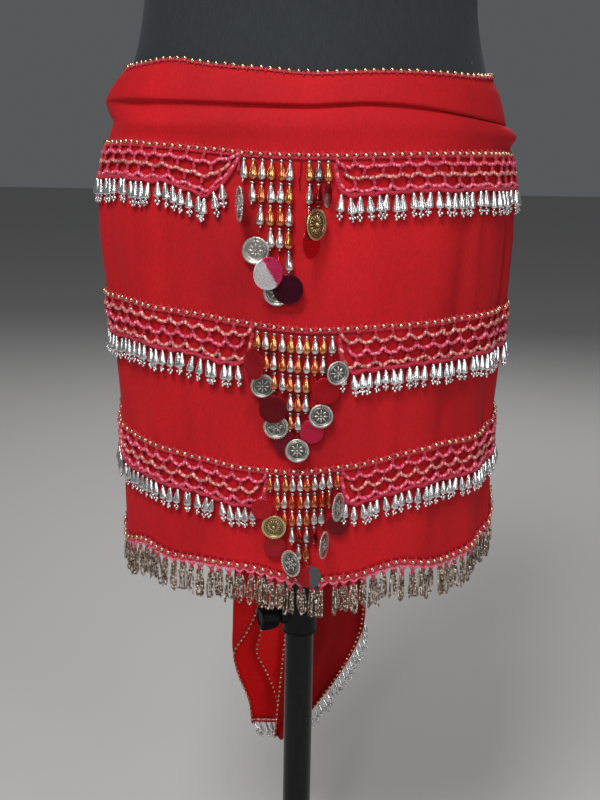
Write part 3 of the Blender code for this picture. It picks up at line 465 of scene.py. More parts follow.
class Pile:
    """Shapes collected into one mesh, each with a tint."""

    def __init__(self):
        self.verts, self.quads, self.tris, self.tints = [], [], [], []
        self.count = 0

    def add(self, shape, tint=(1, 1, 1)):
        tints = np.broadcast_to(np.asarray(tint, float), (len(shape.verts), 3))
        self.verts.append(shape.verts)
        self.quads.append(shape.quads + self.count)
        self.tris.append(shape.tris + self.count)
        self.tints.append(tints)
        self.count += len(shape.verts)

    def scatter(self, shape, origins, axes, sizes, tints=(1, 1, 1)):
        """A copy of the shape at each origin. Its x, y, z lie on the rows of axes times sizes."""
        origins = np.asarray(origins, float).reshape(-1, 3)
        total = len(origins)
        axes = np.broadcast_to(np.asarray(axes, float), (total, 3, 3))
        sizes = np.broadcast_to(np.asarray(sizes, float), (total, 3))
        tints = np.broadcast_to(np.asarray(tints, float), (total, 3))
        verts = np.einsum("vi,nij->nvj", shape.verts, axes * sizes[:, :, None])
        verts = (verts + origins[:, None]).reshape(-1, 3)
        step = (np.arange(total) * len(shape.verts))[:, None, None] + self.count
        self.verts.append(verts)
        self.quads.append((shape.quads[None] + step).reshape(-1, 4))
        self.tris.append((shape.tris[None] + step).reshape(-1, 3))
        self.tints.append(np.repeat(tints, len(shape.verts), axis=0))
        self.count += len(verts)

    def make(self, name, finish, slot, replaces=()):
        verts = np.concatenate(self.verts)
        quads, tris = np.concatenate(self.quads), np.concatenate(self.tris)
        made = mesh_object(name, verts, quads, tris)
        tints = np.concatenate([np.concatenate(self.tints), np.ones((len(verts), 1))], axis=1)
        layer = made.data.color_attributes.new("tint", "FLOAT_COLOR", "POINT")
        layer.data.foreach_set("color", tints.astype(np.float32).ravel())
        dress(made, finish, "form", replaces)


def mesh_object(name, verts, quads, tris=np.zeros((0, 3), int)):
    mesh = bpy.data.meshes.new(name)
    mesh.vertices.add(len(verts))
    mesh.vertices.foreach_set("co", np.asarray(verts, np.float32).ravel())
    loops = np.concatenate([quads.ravel(), tris.ravel()]).astype(np.int32)
    mesh.loops.add(len(loops))
    mesh.loops.foreach_set("vertex_index", loops)
    mesh.polygons.add(len(quads) + len(tris))
    starts = np.concatenate([np.arange(len(quads)) * 4, len(quads) * 4 + np.arange(len(tris)) * 3])
    mesh.polygons.foreach_set("loop_start", starts.astype(np.int32))
    mesh.update(calc_edges=True)
    mesh.validate()
    mesh.shade_smooth()
    made = bpy.data.objects.new(name, mesh)
    bpy.context.scene.collection.objects.link(made)
    return made


def dress(made, finish, body, replaces=()):
    made.data.materials.append(finish)
    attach(made, body)
    if replaces:
        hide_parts(*replaces)
    return made


def grid_object(name, points, closed=False):
    """A surface from an (m, n, 3) grid of points, with n closed into a ring where asked."""
    m, n = points.shape[:2]
    i, j = np.meshgrid(np.arange(m - 1), np.arange(n if closed else n - 1), indexing="ij")
    k = (j + 1) % n
    quads = np.stack([i * n + j, i * n + k, (i + 1) * n + k, (i + 1) * n + j], -1).reshape(-1, 4)
    return mesh_object(name, points.reshape(-1, 3), quads)


# Finishes


class Finish:
    """A material in the making: a Principled shader and the nodes that feed it."""

    def __init__(self, name, colour, roughness, metallic=0.0, **more):
        self.made = bpy.data.materials.new(name)
        self.made.use_nodes = True
        self.feed(Base_Color=colour, Roughness=roughness, Metallic=metallic, **more)

    def put(self, value, target):
        """Links another node's output to a socket, or sets a constant there."""
        if isinstance(value, bpy.types.NodeSocket):
            self.made.node_tree.links.new(value, target)
        else:
            target.default_value = (*value, 1) if target.type == "RGBA" else value

    def feed(self, **values):
        shader = self.made.node_tree.nodes["Principled BSDF"]
        for key, value in values.items():
            self.put(value, shader.inputs[key.replace("_", " ")])
        return self.made

    def node(self, kind, **values):
        found = self.made.node_tree.nodes.new("ShaderNode" + kind)
        for key, value in values.items():
            if hasattr(found, key):
                setattr(found, key, value)
            else:
                self.put(value, found.inputs[key.replace("_", " ")])
        return found

    def place(self, stretch=(1, 1, 1)):
        """Coordinates in metres on the object, stretched."""
        where = self.node("TexCoord").outputs["Object"]
        return self.node("Mapping", Scale=stretch, Vector=where).outputs["Vector"]

    def noise(self, scale, detail=2.0, rough=0.5, stretch=(1, 1, 1)):
        spots = self.node("TexNoise", Scale=scale, Detail=detail, Roughness=rough)
        self.put(self.place(stretch), spots.inputs["Vector"])
        return spots.outputs["Fac"]

    def threads(self, direction, scale, distortion, **more):
        """Bands that run across one axis."""
        bands = self.node("TexWave", Scale=scale, Distortion=distortion, **more)
        bands.bands_direction = direction
        self.put(self.place(), bands.inputs["Vector"])
        return bands.outputs["Color"]

    def ramp(self, source, *stops):
        """Colours, or greys given as one number, between two places."""
        found = self.node("ValToRGB", Fac=source)
        for stop, (place, colour) in zip(found.color_ramp.elements, stops):
            stop.position = place
            stop.color = (*(colour if isinstance(colour, tuple) else (colour,) * 3), 1)
        return found.outputs["Color"]

    def bump(self, height, strength, distance, under=None):
        found = self.node("Bump", Strength=strength, Distance=distance, Height=height)
        if under:
            self.put(under, found.inputs["Normal"])
        return found.outputs["Normal"]

    def mix(self, factor, first, second, kind="MULTIPLY"):
        found = self.node("Mix", data_type="RGBA", blend_type=kind)
        for socket, value in zip((0, 6, 7), (factor, first, second)):
            self.put(value, found.inputs[socket])
        return found.outputs[2]

    def tint(self):
        return self.node("VertexColor", layer_name="tint").outputs["Color"]


def crepe(name, light, dark, glow):
    """Crinkled crepe: a fine crossed weave with uneven threads."""
    look = Finish(name, light, 0.78, Sheen_Weight=0.10, Sheen_Roughness=0.5, Sheen_Tint=glow)
    look.feed(Specular_IOR_Level=0.25)
    fine = look.noise(620.0, 3.0, 0.65, (1, 1, 0.55))
    broad = look.ramp(look.noise(11.0, 4.0, stretch=(1, 1, 0.4)), (0.30, dark), (0.72, light))
    weave = [look.threads(kind, 420.0, 3.5, Detail=2.0, Detail_Scale=2.0) for kind in "ZX"]
    crinkle = look.noise(90.0, stretch=(1, 1, 0.2))
    under = look.bump(crinkle, 0.22, 0.0012, look.bump(fine, 0.45, 0.0005))
    return look.feed(
        Base_Color=look.mix(1.0, broad, look.ramp(fine, (0.35, 0.84), (0.70, 1.06))),
        Normal=look.bump(look.mix(0.5, *weave, "MIX"), 0.30, 0.0004, under),
    )


def jersey():
    """Charcoal jersey with fine upright ribs and flecks of lint."""
    look = Finish("jersey", (0.018, 0.021, 0.025), 0.9, Sheen_Weight=0.10, Sheen_Roughness=0.5)
    look.feed(Sheen_Tint=(0.55, 0.62, 0.70))
    rib = look.noise(900.0, 1.0, stretch=(1, 1, 0.02))
    broad = look.ramp(look.noise(6.0), (0.3, (0.014, 0.017, 0.020)), (0.75, (0.021, 0.025, 0.029)))
    ground = look.mix(1.0, broad, look.ramp(rib, (0.35, 0.86), (0.65, 1.12)))
    specks = look.node("TexVoronoi", Scale=85.0, Randomness=1.0, Vector=look.place((1, 1, 0.35)))
    lint = look.ramp(specks.outputs["Distance"], (0.03, 1), (0.065, 0))
    thin = look.ramp(look.noise(21.0), (0.58, 0), (0.66, 1))
    fine = look.noise(700.0, stretch=(1, 1, 2.5))
    return look.feed(
        Base_Color=look.mix(look.mix(1.0, lint, thin), ground, (0.13, 0.14, 0.15), "MIX"),
        Normal=look.bump(fine, 0.4, 0.0004, look.bump(rib, 0.35, 0.0004)),
    )


def tinted(name, roughness, metallic, grain=900.0, wear=0.25, strength=0.05, **more):
    """A finish whose colour is each bead's tint, with fine scratches."""
    look = Finish(name, (0.8, 0.8, 0.8), roughness, metallic, **more)
    spots = look.noise(grain, 3.0)
    return look.feed(
        Base_Color=look.mix(1.0, look.tint(), look.ramp(spots, (0.3, 1 - wear), (0.7, 1))),
        Roughness=look.ramp(spots, (0.3, roughness * 1.6), (0.7, roughness * 0.8)),
        Normal=look.bump(spots, strength, 0.0003),
    )


def thread():
    """Mercerised crochet thread, twisted."""
    look = Finish("thread", (0.62, 0.02, 0.08), 0.55, Sheen_Weight=0.3, Sheen_Tint=(1.0, 0.5, 0.6))
    twist = look.threads("DIAGONAL", 330.0, 1.5, Detail=1.0)
    shade = look.ramp(twist, (0.1, (0.62, 0.55, 0.58)), (0.8, 1.12))
    return look.feed(Base_Color=look.mix(1.0, look.tint(), shade), Normal=look.bump(twist, 0.6, 0.0005))


def black_gloss(name, colour, roughness, coat):
    """Sprayed or moulded black with faint dust and rub marks."""
    look = Finish(name, colour, roughness, Coat_Weight=coat, Coat_Roughness=0.06)
    look.feed(Specular_IOR_Level=0.14)
    dust = look.noise(240.0, 4.0, 0.6)
    rub = look.noise(60.0, 3.0, stretch=(1, 1, 0.12))
    return look.feed(
        Base_Color=look.ramp(dust, (0.35, colour), (0.85, tuple(4 * part for part in colour))),
        Roughness=look.ramp(rub, (0.3, roughness * 0.7), (0.8, roughness * 1.9)),
        Normal=look.bump(dust, 0.05, 0.0002),
    )


CREPE = crepe("crepe", (0.64, 0.0072, 0.0135), (0.40, 0.0036, 0.0080), (1.0, 0.12, 0.16))
# A darker copy of the crepe for the right tail: painted shade on the same cloth
CREPE_PAINTED_SHADE = crepe("crepe_painted_shade", (0.46, 0.0024, 0.0036), (0.34, 0.0015, 0.0024), (0.9, 0.10, 0.08))
# A lighter copy of the crepe for the left tail: painted light on the same cloth
CREPE_PAINTED_LIGHT = crepe("crepe_painted_light", (0.94, 0.0055, 0.0085), (0.74, 0.0035, 0.0060), (1.0, 0.10, 0.10))
JERSEY = jersey()
THREAD = thread()
GOLD = tinted("gold_bead", 0.20, 1.0, wear=0.2)
SILVER = tinted("silver_bead", 0.20, 0.92, wear=0.06, strength=0.01)
METALLIC = tinted("metallic_bead", 0.18, 0.92, wear=0.06, strength=0.01, Coat_Weight=0.3)
TUBES = tinted("tube_bead", 0.14, 0.10, wear=0.10, Coat_Weight=0.9, Coat_Roughness=0.05)
SEEDS = tinted("seed_bead", 0.14, 0.65, wear=0.1, Coat_Weight=0.7, Coat_Roughness=0.06)
COINS = tinted("coin_metal", 0.30, 1.0, 1400.0, 0.35, 0.15)
DISCS = tinted("disc_mirror", 0.24, 0.70, 1800.0, 0.30, 0.04, Coat_Weight=0.12, Coat_Roughness=0.08)
BLACK_PAINT = black_gloss("black_paint", (0.0022, 0.0022, 0.0022), 0.16, 0.2)
BLACK_PLASTIC = black_gloss("black_plastic", (0.0035, 0.0035, 0.0038), 0.34, 0.05)

GOLD_TINT = (0.95, 0.60, 0.36)
SILVER_TINT = (0.90, 0.90, 0.90)
PEAR_TINTS = {
    "s": (0.88, 0.87, 0.85),
    "g": (0.34, 0.35, 0.37),
    "c": (0.86, 0.24, 0.09),
    "a": (0.86, 0.36, 0.13),
    "o": (0.86, 0.17, 0.06),
    "r": (0.42, 0.02, 0.02),
}
CRIMSON = (0.62, 0.008, 0.040)
PINK = (1.0, 0.14, 0.24)
CLEAR = (0.72, 0.24, 0.21)


def uneven(tint, count, spread=0.12):
    """One tint for each bead, a little lighter or darker."""
    shade = 1 + spread * RANDOM.standard_normal((count, 1))
    return np.clip(np.asarray(tint) * shade, 0.0, 1.0)


# The dress form and its stand


def make_form():
    sides, rings = 96, 120
    angles = np.arange(sides) * 360 / sides
    heights = np.linspace(FORM_BOTTOM, FORM_TOP, rings)
    rows = [around(angles, height, 0.0) for height in heights]
    lip = around(angles, FORM_BOTTOM, -0.004)
    turn = np.radians(angles)
    hole = np.stack([BORE_RADIUS * np.sin(turn), -BORE_RADIUS * np.cos(turn)], -1)
    low, high = np.full((sides, 1), FORM_BOTTOM), np.full((sides, 1), BORE_TOP)
    bottom = np.concatenate([hole, low], axis=1)
    bore = np.concatenate([hole, high], axis=1)
    tip = np.tile([[0.0, 0.0, BORE_TOP]], (sides, 1))
    top = np.tile([[0.0, 0.0, FORM_TOP]], (sides, 1))
    points = np.array([tip, bore, bottom, lip, *rows, top])
    points[4, :, 2] += 0.003
    made = grid_object("form_jersey", points, closed=True)
    dress(made, JERSEY, "form", ("dress_form",))


def turned(name, profile, finish, body, replaces, sides=96, place=None):
    turn = 2 * math.pi * np.arange(sides) / sides
    ring = np.stack([np.cos(turn), np.sin(turn)], -1)
    rows = []
    for radius, height in profile:
        rows.append(np.concatenate([ring * radius, np.full((sides, 1), height)], axis=1))
    points = np.array(rows[::-1])
    if place is not None:
        points = points @ np.array(place)[:3, :3].T + np.array(place)[:3, 3]
    made = grid_object(name, points, closed=True)
    made.data.set_sharp_from_angle(angle=math.radians(38))
    return dress(made, finish, body, replaces)


def make_stand():
    bore = POLE_RADIUS + 0.0004
    base = (
        (0, 0.008), (bore, 0.008), (bore, 0.031), (0.0144, 0.032), (0.019, 0.032), (0.0204, 0.0314),
        (0.021, 0.030), (0.0216, 0.024), (0.023, 0.018), (0.026, 0.0152), (0.031, 0.014),
        (0.033, 0.0135), (0.100, 0.0112), (0.179, 0.009), (0.187, 0.0082), (0.192, 0.0066),
        (0.1948, 0.0040), (0.195, 0.0028), (0.195, 0.0006), (0.1944, 0), (0, 0),
    )
    turned("stand_base", base, BLACK_PAINT, "stand", ("base",), 128)
    pole = ((0, 0.800), (0.0125, 0.800), (0.0135, 0.799), (0.0135, 0.0083), (0, 0.0083))
    turned("stand_pole", pole, BLACK_PAINT, "stand", ("pole",), 64)
    top = FORM_BOTTOM - 0.0003
    collar = (
        (bore, top), (0.044, top), (0.0448, top - 0.0004), (0.045, top - 0.001), (0.045, top - 0.0035),
        (0.0444, top - 0.0042), (0.024, top - 0.0052), (0.020, top - 0.006), (0.0174, top - 0.009),
        (0.016, top - 0.013), (0.016, 0.3575), (0.0166, 0.3571), (0.0166, 0.3562), (0.0160, 0.3555),
        (0.0152, 0.355), (bore, 0.355), (bore, top),
    )
    turned("collar_sleeve", collar, BLACK_PLASTIC, "form", ("collar",), 72)
    turn = Matrix.Translation((0, 0, KNOB_HEIGHT)) @ Matrix.Rotation(KNOB_TURN, 4, "Z")
    turn = turn @ Matrix.Rotation(math.radians(90), 4, "Y")
    boss = (
        (0, 0.0205), (0.0066, 0.0205), (0.0074, 0.0200), (0.0085, 0.0150), (0.0085, 0.0142), (0, 0.0142),
    )
    turned("collar_boss", boss, BLACK_PLASTIC, "form", (), 48, turn)
    half_width, front, back = (float(x) for x in body_size(FORM_TOP))
    squash = Matrix.Translation((0, (back - front) / 2, 0))
    squash = squash @ Matrix.Diagonal((1, (front + back) / 2 / half_width, 1, 1))
    low = FORM_TOP + 0.0003
    cap = (
        (0, low + 0.012), (half_width * 0.3, low + 0.0118), (half_width * 0.55, low + 0.011),
        (half_width * 0.80, low + 0.0094), (half_width * 0.93, low + 0.007),
        (half_width * 0.99, low + 0.005), (half_width * 1.02, low + 0.003), (half_width * 1.02, low),
        (0, low),
    )
    turned("form_cap", cap, BLACK_PLASTIC, "form", ("neck_cap",), 96, squash)
    make_knob(turn)


def make_knob(turn):
    """The locking knob: three soft lobes, a dished face and a screw."""
    sides = 72
    sections = (
        (0.0143, 0.0037, 0.0), (0.0214, 0.0037, 0.0), (0.0216, 0.0078, 0.10), (0.0222, 0.0100, 0.13),
        (0.0240, 0.0119, 0.14), (0.0290, 0.0127, 0.14), (0.0355, 0.0130, 0.14), (0.0385, 0.0124, 0.14),
        (0.0400, 0.0110, 0.13), (0.0405, 0.0092, 0.10), (0.0402, 0.0072, 0.04), (0.0394, 0.0066, 0.0),
        (0.0394, 0.0, 0.0),
    )
    angle = 2 * math.pi * np.arange(sides) / sides
    rows = []
    for z, radius, depth in sections:
        reach = radius * (1 - depth + depth * np.cos(3 * angle))
        rows.append(np.stack([reach * np.cos(angle), reach * np.sin(angle), np.full(sides, z)], -1))
    points = np.array(rows) @ np.array(turn)[:3, :3].T + np.array(turn)[:3, 3]
    made = grid_object("knob_lobes", points, closed=True)
    made.data.set_sharp_from_angle(angle=math.radians(45))
    dress(made, BLACK_PLASTIC, "knob", ("knob",))


# The cloth


def add_wall(made, thickness):
    wall = made.modifiers.new("wall", "SOLIDIFY")
    wall.thickness = thickness
    wall.offset = -1.0
    wall.use_rim = True


def knot_end(side):
    """The angle at which each level of the gathered cloth meets the side of the knot."""
    reach = body_size(np.array(KNOT_HEIGHT))[0] + 0.0175
    return side * (180.0 - math.degrees(math.asin((KNOT_SIZE[0] + 0.0006) / reach)))


def make_wraps():
    v = np.linspace(0, len(LEVELS) - 1, 6 * (len(LEVELS) - 1) + 1)
    front = np.linspace(-SIDE_SEAM, SIDE_SEAM, 137)
    pieces = [("cloth_front", front, "wrap_front")]
    start = SIDE_SEAM + SIDE_GAP
    left = np.linspace(knot_end(-1), -start, 72)
    right = np.linspace(start, knot_end(1), 72)
    pieces.append(("cloth_back_left", left, "wrap_back_left"))
    pieces.append(("cloth_back_right", right, "wrap_back_right"))
    for name, angles, stands_for in pieces:
        points, _, _ = cloth(angles, v)
        made = grid_object(name, points)
        add_wall(made, WALL)
        dress(made, CREPE, "form", (stands_for,))


def make_knot():
    """The tied knot: bands of gathered cloth that cross over one another."""
    sides, rings = 96, 56
    turn = 2 * math.pi * np.arange(sides) / sides
    tilt = math.pi * np.linspace(0.004, 0.996, rings)
    x = np.sin(tilt)[:, None] * np.cos(turn)
    y = np.sin(tilt)[:, None] * np.sin(turn)
    z = np.cos(tilt)[:, None] * np.ones(sides)
    length = (np.abs(x) ** 3.2 + np.abs(y) ** 3.2 + np.abs(z) ** 3.2) ** (-1 / 3.2)
    slant = x + 0.35 * z
    out = np.clip(y, 0, 1)
    band = np.cos(5.7 * slant)
    strands = 0.045 * np.cos(26 * slant + 3 * z) * out + 0.02 * np.cos(44 * (z - 0.3 * x) + 1) * out
    grow = 1 + (0.10 * band + strands) * (y > 0) + 0.02 * np.cos(30 * z) * (y <= 0)
    points = np.stack(
        [
            x * length * KNOT_SIZE[0] * (1 + 0.03 * np.cos(24 * z)),
            y * length * KNOT_SIZE[1] * grow + KNOT_CENTRE,
            z * length * KNOT_SIZE[2] * (1 + 0.03 * np.cos(22 * x)) + KNOT_HEIGHT,
        ],
        -1,
    )
    made = grid_object("cloth_knot", points[::-1], closed=True)
    dress(made, CREPE, "form", ("knot",))


def tail_right_point(across, down):
    heights = column(TAIL_RIGHT, "height")[::-1]
    height = heights[-1] + (heights[0] - heights[-1]) * down
    left, right, behind = (
        curve(height, heights, column(TAIL_RIGHT, name)[::-1]) for name in ("left", "right", "behind")
    )
    wave = 4.5 * MM * np.sin(2 * math.pi * 1.5 * across) * smooth(down * 4)
    fine = 1.1 * MM * np.sin(2 * math.pi * (4.3 * across + 0.6 * down)) * (1.3 - down)
    x = left + (right - left) * across
    return np.stack(np.broadcast_arrays(x, behind + wave + fine, HIP_ROW + height), -1)


def tail_left_point(across, down):
    """across runs from edge_2 to the right turn, behind to the left turn, and on to edge_1."""
    heights = column(TAIL_LEFT, "height")[::-1]
    height = heights[-1] + (heights[0] - heights[-1]) * down
    names = ("edge_2", "right", "left", "edge_1", "behind")
    values = [curve(height, heights, column(TAIL_LEFT, name)[::-1]) for name in names]
    whole = np.broadcast(across, down).shape
    edge_2, right, left, edge_1, behind = (np.broadcast_to(x, whole) for x in values)
    stops = (0.0, 0.30, 0.78, 1.0)
    share = [np.clip((across - a) / (b - a), 0, 1) for a, b in zip(stops, stops[1:])]
    bend = [smooth(s) for s in share]
    x = edge_2 + (right - edge_2) * bend[0] + (left - right) * bend[1] + (edge_1 - left) * bend[2]
    layers = curve(across, (0, 0.2, 0.38, 0.7, 0.86, 1.0), (-5.5, -5.0, 2.5, 4.0, -1.0, -6.0)) * MM
    wave = 1.2 * MM * np.sin(2 * math.pi * (2.2 * across + 0.5 * down))
    depth = behind + layers * smooth(down * 5) + wave
    return np.stack(np.broadcast_arrays(x, depth, HIP_ROW + height), -1)


def make_tails():
    across, down = np.meshgrid(np.linspace(0, 1, 41), np.linspace(0, 1, 81))
    made = grid_object("cloth_tail_right", tail_right_point(across, down))
    add_wall(made, WALL)
    # The right tail takes the darker crepe copy, a painted shade
    dress(made, CREPE_PAINTED_SHADE, "form", ("tail_right",))
    across, down = np.meshgrid(np.linspace(0, 1, 65), np.linspace(0, 1, 81))
    made = grid_object("cloth_tail_left", tail_left_point(across, down))
    add_wall(made, WALL)
    # The left tail takes the lighter crepe copy, painted light
    dress(made, CREPE_PAINTED_LIGHT, "form", ("tail_left",))


# Beads, lace and tassels

BALL = ball(8, 5)
SMALL_BALL = ball(6, 4)
SEED = ball(5, 3)
PEAR = lathe(
    ((0, 0), (0.25, -0.005), (0.30, -0.03), (0.44, -0.12), (0.66, -0.30), (0.86, -0.50), (0.98, -0.68),
     (1.0, -0.79), (0.92, -0.90), (0.60, -0.975), (0.25, -1.0), (0, -1.0)),
    14, 0.06,
)
DROP = lathe(
    ((0, 0), (0.22, -0.005), (0.28, -0.03), (0.40, -0.14), (0.56, -0.30), (0.73, -0.48), (0.88, -0.66),
     (0.98, -0.81), (1.0, -0.88), (0.93, -0.95), (0.62, -0.99), (0, -1.0)),
    12, 0.06,
)
TUBE = lathe(
    ((0, 0.46), (0.62, 0.46), (0.82, 0.5), (1.0, 0.43), (1.0, -0.43), (0.82, -0.5), (0.62, -0.46),
     (0, -0.46)),
    6,
)


def leaned(along, up, out, tilt):
    """Axes along, out and up, turned sideways by tilt degrees."""
    lean = np.radians(tilt)[..., None]
    new_up = up * np.cos(lean) + along * np.sin(lean)
    new_along = along * np.cos(lean) - up * np.sin(lean)
    return np.stack([new_along, out, new_up], -2)


def hang(angle, height, lift, tilt=0.0):
    """Origins and axes for things that hang in front of the cloth, leaning sideways by tilt."""
    along, up, out = np.moveaxis(axes_at(angle, height), -2, 0)
    tilt = np.broadcast_to(tilt, np.shape(angle))
    return over(angle, height, lift), leaned(along, up, out, tilt)


def chain_radius(path, radius, pitch=0.0023):
    """The bulging radius of a crochet chain along a path."""
    steps = np.linalg.norm(np.diff(path, axis=0), axis=1)
    length = np.concatenate([[0], np.cumsum(steps)])
    return radius * (0.72 + 0.42 * np.abs(np.sin(math.pi * length / pitch)))


STITCH_LIFTS = np.array([1.0, 1.2, 0.9, 0.2]) * MM
STITCH_RADII = np.array([0.65, 0.75, 0.65, 0.40]) * MM
TIE_LIFTS = np.array([1.2, 2.4, 2.5, 2.2]) * MM
TIE_RADII = np.array([1.8, 1.4, 1.45, 1.9]) * MM
GOLD_PITCH = 0.0074
GOLD_RADIUS = 2.05 * MM


def bead_row(gold, threads, row, start, end):
    """Gold beads along a row, on a crochet edge, with the short stitches that hold it."""
    top = row == "top"
    angles = stations(row, start, end, GOLD_PITCH)
    height = row_height(row, angles)
    jitter = 0.3 * MM * RANDOM.standard_normal(len(angles))
    origins, axes = hang(angles, height + jitter, (1.1 if top else 2.0) * MM)
    gold.scatter(BALL, origins, axes, GOLD_RADIUS, uneven(GOLD_TINT, len(angles), 0.10))
    fine = stations(row, start, end, 0.0011)
    for offset, radius in ((-1.6, 0.95),) if top else ((-2.3, 1.45), (0.9, 0.9)):
        line = over(fine, row_height(row, fine) + offset * MM, 0.9 * MM)
        threads.add(swept(line, chain_radius(line, radius * MM), 5), CRIMSON)
    middle = (angles[1:] + angles[:-1]) / 2
    lumps = over(middle, row_height(row, middle) - 0.4 * MM, (0.6 if top else 1.5) * MM)
    size = (0.9 if top else 1.25) * MM
    threads.scatter(SMALL_BALL, lumps, np.eye(3), size, uneven(CRIMSON, len(middle)))
    rises = np.array([-0.4, -1.8, -3.0, -4.0] if top else [-1.8, 0.4, 2.0, 3.2]) * MM
    for angle in middle + 0.06 * RANDOM.standard_normal(len(middle)):
        path = over(angle + np.zeros(4), row_height(row, angle) + rises, STITCH_LIFTS)
        threads.add(swept(path, STITCH_RADII, 5), CRIMSON)


def lace_shape(distance, tier, side):
    """How far down the lace reaches near its open end, as a share of its depth."""
    if side > 0:
        shape = np.interp(distance, (0.0, 0.004, 0.012, 0.030, 0.050), (0.40, 0.95, 1.10, 1.04, 1.0))
    elif tier == "tier_1":
        shape = np.interp(distance, (0.0, 0.010, 0.024, 0.040, 0.060), (0.16, 0.80, 1.26, 1.14, 1.0))
    else:
        shape = np.interp(distance, (0.0, 0.004, 0.014, 0.040, 0.060), (0.45, 0.95, 1.06, 1.04, 1.0))
    return shape * CLUSTER_PLACES[tier].lace_depth


def make_lace(tier, side, start, silver):
    """One length of lace: three waves of tube beads, the threads that join them, and its drops."""
    threads, tubes = Pile(), Pile()
    angles = stations(tier, start, side * LACE_END, REPEAT)
    repeats = len(angles) - 1

    def place(s, drop, lift):
        """A point s repeats from the lace's open end, this far below the row."""
        s = np.asarray(s)
        angle = np.interp(s, np.arange(repeats + 1), angles)
        deeper = lace_shape(s * REPEAT, tier, side)
        wobble = 0.5 * MM * np.sin(1.7 * s + 2.1 * side) + 0.4 * MM * np.sin(4.1 * s)
        height = row_height(tier, angle) - (drop * deeper + wobble * np.minimum(drop / FOOT, 1))
        return over(angle, height, lift)

    def knots(s, drop, size):
        """Lumps of thread where stitches meet."""
        spots = place(s, drop, 2.3 * MM)
        sizes = size * MM * (1 + 0.18 * RANDOM.standard_normal((len(spots), 3)))
        threads.scatter(SMALL_BALL, spots, np.eye(3), sizes, uneven(CRIMSON, len(spots), 0.15))

    steps = np.array([0.0, 0.20, 0.50, 0.80])
    for number, row in enumerate(WAVES[tier]):
        peak, trough = row.peak * MM, row.trough * MM
        sag = np.array([peak, peak + 0.72 * (trough - peak), trough, peak + 0.72 * (trough - peak)])
        shift = 0.5 * (number % 2)
        s = np.concatenate([k + shift + steps for k in range(repeats)])
        drop = np.tile(sag, repeats)
        keep = s <= repeats
        s, drop = s[keep], drop[keep]
        drop = drop + 0.45 * MM * RANDOM.standard_normal(len(drop))
        path = place(s, drop, 2.4 * MM)
        outward = axes_at(np.interp(s, np.arange(repeats + 1), angles), np.full(len(s), HIP_ROW))[:, 2]
        threads.add(swept(path, 1.45 * MM, 6, outward), CRIMSON)
        knots(s, drop, 1.85)
        middle, run = (path[1:] + path[:-1]) / 2, path[1:] - path[:-1]
        length = np.linalg.norm(run, axis=1, keepdims=True)
        along = run / length + 0.22 * RANDOM.standard_normal(run.shape)
        along /= np.linalg.norm(along, axis=1, keepdims=True)
        sideways = np.cross(outward[1:], along)
        sideways /= np.linalg.norm(sideways, axis=1, keepdims=True)
        outs = np.cross(along, sideways)
        axes = np.stack([sideways, outs, along], -2)
        tints = uneven(PINK if row.colour == "pink" else CLEAR, len(middle), 0.16)
        if row.colour == "clear":
            tints[::3] = np.clip(tints[::3] * (1.3, 1.5, 1.55), 0, 1)
        width = np.full(len(length), 1.38 * MM)
        sizes = np.stack([width, width, np.minimum(length[:, 0] * 0.95, 4.4 * MM)], -1)
        tubes.scatter(TUBE, middle + outs * 0.6 * MM, axes, sizes, tints)
        above = 1.6 * MM if number == 0 else WAVES[tier][number - 1].trough * MM
        for k in np.unique(s[np.isclose(s % 1, shift)]):
            drops = np.linspace(above, peak, 4)
            tie = place(k + 0.02 * np.sin(7 * k + drops * 900), drops, TIE_LIFTS)
            threads.add(swept(tie, TIE_RADII, 6), CRIMSON)
    s = np.arange(0.0, repeats, 0.07)
    bow = np.abs(np.sin(math.pi * s))
    foot = place(s, FOOT - 1.3 * MM * bow**1.5 + 0.6 * MM, 2.2 * MM)
    threads.add(swept(foot, chain_radius(foot, 1.8 * MM)), CRIMSON)
    loose = np.arange(0.0, repeats, 0.245)
    knots(loose, FOOT - (0.8 + 0.9 * RANDOM.standard_normal(len(loose))) * MM, 1.7)
    down = np.linspace(0.0, FOOT * (3.0 if side < 0 else 1.4), 9)
    edge = place(0.02 + 0.0 * down, down, 1.3 * MM)
    threads.add(swept(edge, chain_radius(edge, 1.3 * MM)), CRIMSON)
    make_drops(silver, place, repeats, side, CLUSTER_PLACES[tier].drop_size)
    label = f"{tier}_{'left' if side < 0 else 'right'}"
    threads.make(f"lace_thread_{label}", THREAD, "crochet", (f"lace_{label}",))
    tubes.make(f"lace_tubes_{label}", TUBES, "crochet")


def make_drops(silver, place, repeats, side, size):
    """Silver drops with their clusters of small beads, hung along the lace's foot."""
    s = np.arange(0.30 if side > 0 else 0.75, repeats - 0.1, 0.48)
    s = s + 0.05 * RANDOM.standard_normal(len(s))
    lean = 5.0 * RANDOM.standard_normal(len(s))
    tops = place(s, FOOT + 0.4 * MM, 2.6 * MM)
    nearby = place(s + 0.02, FOOT + 0.4 * MM, 2.6 * MM)
    hang_drops(silver, tops, nearby - tops, lean, side, size)


# The small beads under a drop, each at so many radii along, up and out
DROP_CLUSTERS = (
    ((-1.45, -2.4, 0.3), (1.45, -2.4, 0.3), (0.0, -2.7, 1.5), (0.1, -4.4, 0.5)),
    ((-1.2, -2.6, 0.8), (1.2, -2.8, 0.4), (0.2, -4.6, 0.6)),
    ((-1.0, -2.4, 0.3), (0.9, -3.1, 0.9), (-0.6, -4.4, 0.6)),
)


